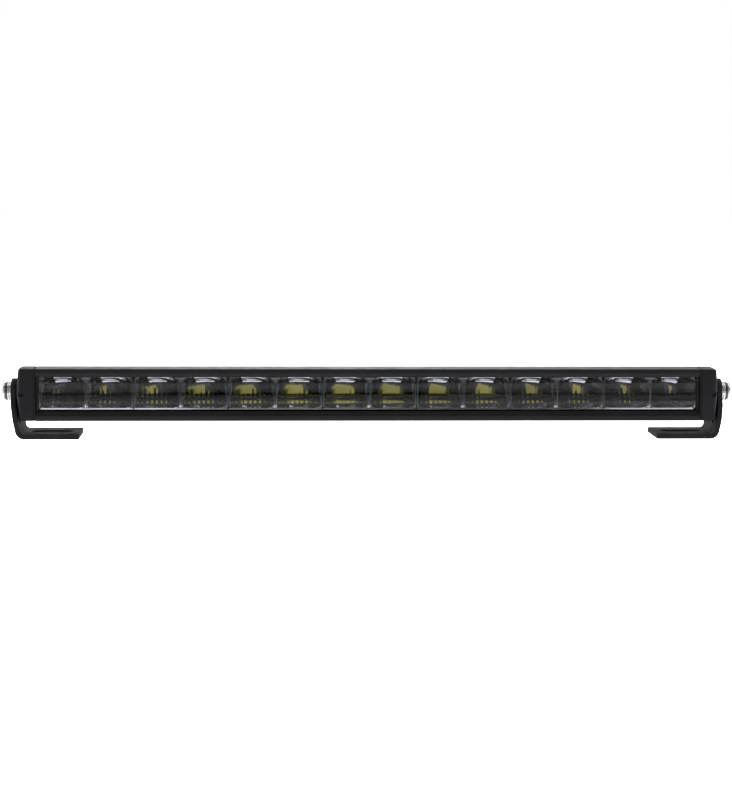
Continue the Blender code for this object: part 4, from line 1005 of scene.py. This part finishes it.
def ease_frame_node(name, finish, width=0.15):
    """A CAD solid that stays: its split corners welded, its edges eased, and a procedural finish."""
    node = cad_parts[name]
    node.data.materials.clear()
    node.data.materials.append(LOOKS[finish].material)
    weld = node.modifiers.new("weld", "WELD")
    weld.merge_threshold = 1e-6
    bevel = node.modifiers.new("ease", "BEVEL")
    bevel.width = width * MM
    bevel.segments = 2
    bevel.limit_method = "ANGLE"
    bevel.angle_limit = math.radians(40)


def dress_inner_nodes():
    finishes = {"led_board": "led_board", "thermal_pad": "thermal_pad", "driver_board": "driver_board"}
    finishes |= {"driver_inductor": "ferrite", "driver_capacitor_1": "capacitor_can"}
    finishes |= {"driver_capacitor_2": "capacitor_can", "gland_lock_nut": "nylon"}
    for name, finish in finishes.items():
        ease_frame_node(name, finish)
    for name, finish in (("led_lead_positive", "lead_red"), ("led_lead_negative", "lead_black")):
        ease_frame_node(name, finish, 0.08)
    ease_frame_node("supply_lead", "lead_black", 0.2)


# --------------------------------------------------------- light, floor, view


def make_floor():
    """A plain white floor. Only its part near the bar shows in reflections."""
    finish = Finish("floor")
    tone = finish.spread(finish.noise(3.0), 0.88, 0.9)
    colour = finish.add("ShaderNodeCombineColor", {0: tone, 1: tone, 2: tone}).outputs[0]
    finish.set(Base_Color=colour, Roughness=0.9, Emission_Color=(1, 1, 1, 1), Emission_Strength=0.85)
    planes = [("floor", (-6, -3), (6, 6), -0.6), ("floor_near", (-0.6, -0.13), (0.6, 0.5), -0.3)]
    for name, low, high, z in planes:
        solid = bmesh.new()
        corners = [(low[0], low[1]), (high[0], low[1]), (high[0], high[1]), (low[0], high[1])]
        solid.faces.new([solid.verts.new((x, y, z * MM)) for x, y in corners])
        plane = as_object(solid, name)
        plane.data.materials.append(finish.material)
        plane.visible_glossy = name != "floor"
        plane.visible_camera = name == "floor"


def make_world():
    world = bpy.data.worlds.new("studio")
    bpy.context.scene.world = world
    world.use_nodes = True
    tree = world.node_tree
    tree.nodes.clear()

    def add(kind, links=None, **settings):
        node = tree.nodes.new(kind)
        for key, value in settings.items():
            setattr(node, key, value)
        for key, value in (links or {}).items():
            if isinstance(value, bpy.types.NodeSocket):
                tree.links.new(value, node.inputs[key])
            else:
                node.inputs[key].default_value = value
        return node

    def calc(operation, a, b=0.0):
        return add("ShaderNodeMath", {0: a, 1: b}, operation=operation).outputs[0]

    def step(value, start, end, low=0.0, high=1.0):
        links = {"Value": value, "From Min": start, "From Max": end, "To Min": low, "To Max": high}
        return add("ShaderNodeMapRange", links, interpolation_type="SMOOTHSTEP").outputs["Result"]

    def band(value, rise, full, fade, end):
        return calc("MULTIPLY", step(value, rise, full), step(value, fade, end, 1.0, 0.0))

    def sum_of(*values):
        result = values[0]
        for value in values[1:]:
            result = calc("ADD", result, value)
        return result

    split = add("ShaderNodeSeparateXYZ", {0: add("ShaderNodeTexCoord").outputs["Generated"]})
    x, y, z = split.outputs
    level = calc("MULTIPLY", calc("ARCSINE", z), 180 / math.pi)
    turn = calc("MULTIPLY", calc("ARCTAN2", x, calc("MULTIPLY", y, -1.0)), 180 / math.pi)
    away = calc("MULTIPLY", calc("ARCTAN2", x, y), 180 / math.pi)
    front = step(y, -0.05, 0.25, 1.0, 0.0)
    # Behind and overhead: a broad soft light, strongest straight behind the bar.
    sky = step(level, -12, 30, *SKY)
    glow = calc("MULTIPLY", band(away, *GLOW_TURN), step(level, 14, 40, 1.0, 0.0))
    behind = sum_of(sky, calc("MULTIPLY", glow, GLOW))
    # In front: a pale band at eye level, lamps above it, a white table below it, and side panels.
    wall = calc("MULTIPLY", band(level, *WALL_LEVEL), WALL)
    left_bank = calc("MULTIPLY", band(turn, *LEFT_BANK_TURN), LEFT_BANK)
    right_bank = calc("MULTIPLY", band(turn, *RIGHT_BANK_TURN), RIGHT_BANK)
    between = step(turn, 0.0, 6.0, *GAP_LIGHT)
    lamps = calc("MULTIPLY", band(level, *LAMP_LEVEL), sum_of(left_bank, right_bank, between))
    sideways = calc("ABSOLUTE", turn)
    panels = calc("MULTIPLY", step(sideways, 50, 65), step(level, -25, 0, 0.3 * PANELS, PANELS))
    table = calc("MULTIPLY", step(level, -13, -10, TABLE, 0.0), step(sideways, 20, 30, 1.0, 0.3))
    veil = calc("MULTIPLY", band(level, *VEIL_LEVEL), step(turn, 9.6, 10.2, 0.0, VEIL))
    overhead = step(level, 40, 70, 0.0, OVERHEAD)
    ahead = sum_of(wall, lamps, panels, table, veil, overhead, FRONT_DARK)
    rear = calc("SUBTRACT", 1.0, front)
    total = sum_of(calc("MULTIPLY", front, ahead), calc("MULTIPLY", rear, behind))
    seen = add("ShaderNodeLightPath").outputs["Is Camera Ray"]
    lit = add("ShaderNodeBackground", {"Color": (1, 1, 1, 1), "Strength": total})
    white = add("ShaderNodeBackground", {"Color": (1, 1, 1, 1), "Strength": 1.0})
    mixed = add("ShaderNodeMixShader", {0: seen, 1: lit.outputs[0], 2: white.outputs[0]})
    add("ShaderNodeOutputWorld", {"Surface": mixed.outputs[0]})


def make_camera():
    data = bpy.data.cameras.new("camera")
    data.lens = LENS_LENGTH
    data.sensor_width = SENSOR_WIDTH
    camera = bpy.data.objects.new("camera", data)
    yaw, pitch, roll = (math.radians(angle) for angle in (CAMERA_YAW, CAMERA_PITCH, CAMERA_ROLL))
    right = Vector((math.cos(yaw), -math.sin(yaw), 0))
    ahead = Vector((math.sin(yaw) * math.cos(pitch), math.cos(yaw) * math.cos(pitch), -math.sin(pitch)))
    up = right.cross(ahead)
    level = math.cos(roll) * right + math.sin(roll) * up
    upright = math.cos(roll) * up - math.sin(roll) * right
    turn = Matrix((level, upright, -ahead)).transposed()
    camera.matrix_world = Matrix.Translation(CAMERA_PLACE) @ turn.to_4x4()
    data.clip_start = 0.05
    bpy.context.scene.collection.objects.link(camera)
    bpy.context.scene.camera = camera


def main():
    make_housing()
    for side, word in SIDES:
        make_end_cap(side, word)
        make_gasket(side, word)
        make_cap_screws(side, word)
        make_bracket(side, word)
        make_pivot_hardware(side, word)
    make_lens()
    make_lens_seal()
    make_reflectors()
    make_leds()
    make_gland()
    make_vent()
    dress_inner_nodes()
    make_floor()
    make_world()
    make_camera()
    bpy.context.scene.view_settings.view_transform = "Standard"


LOOKS = make_finishes()
main()
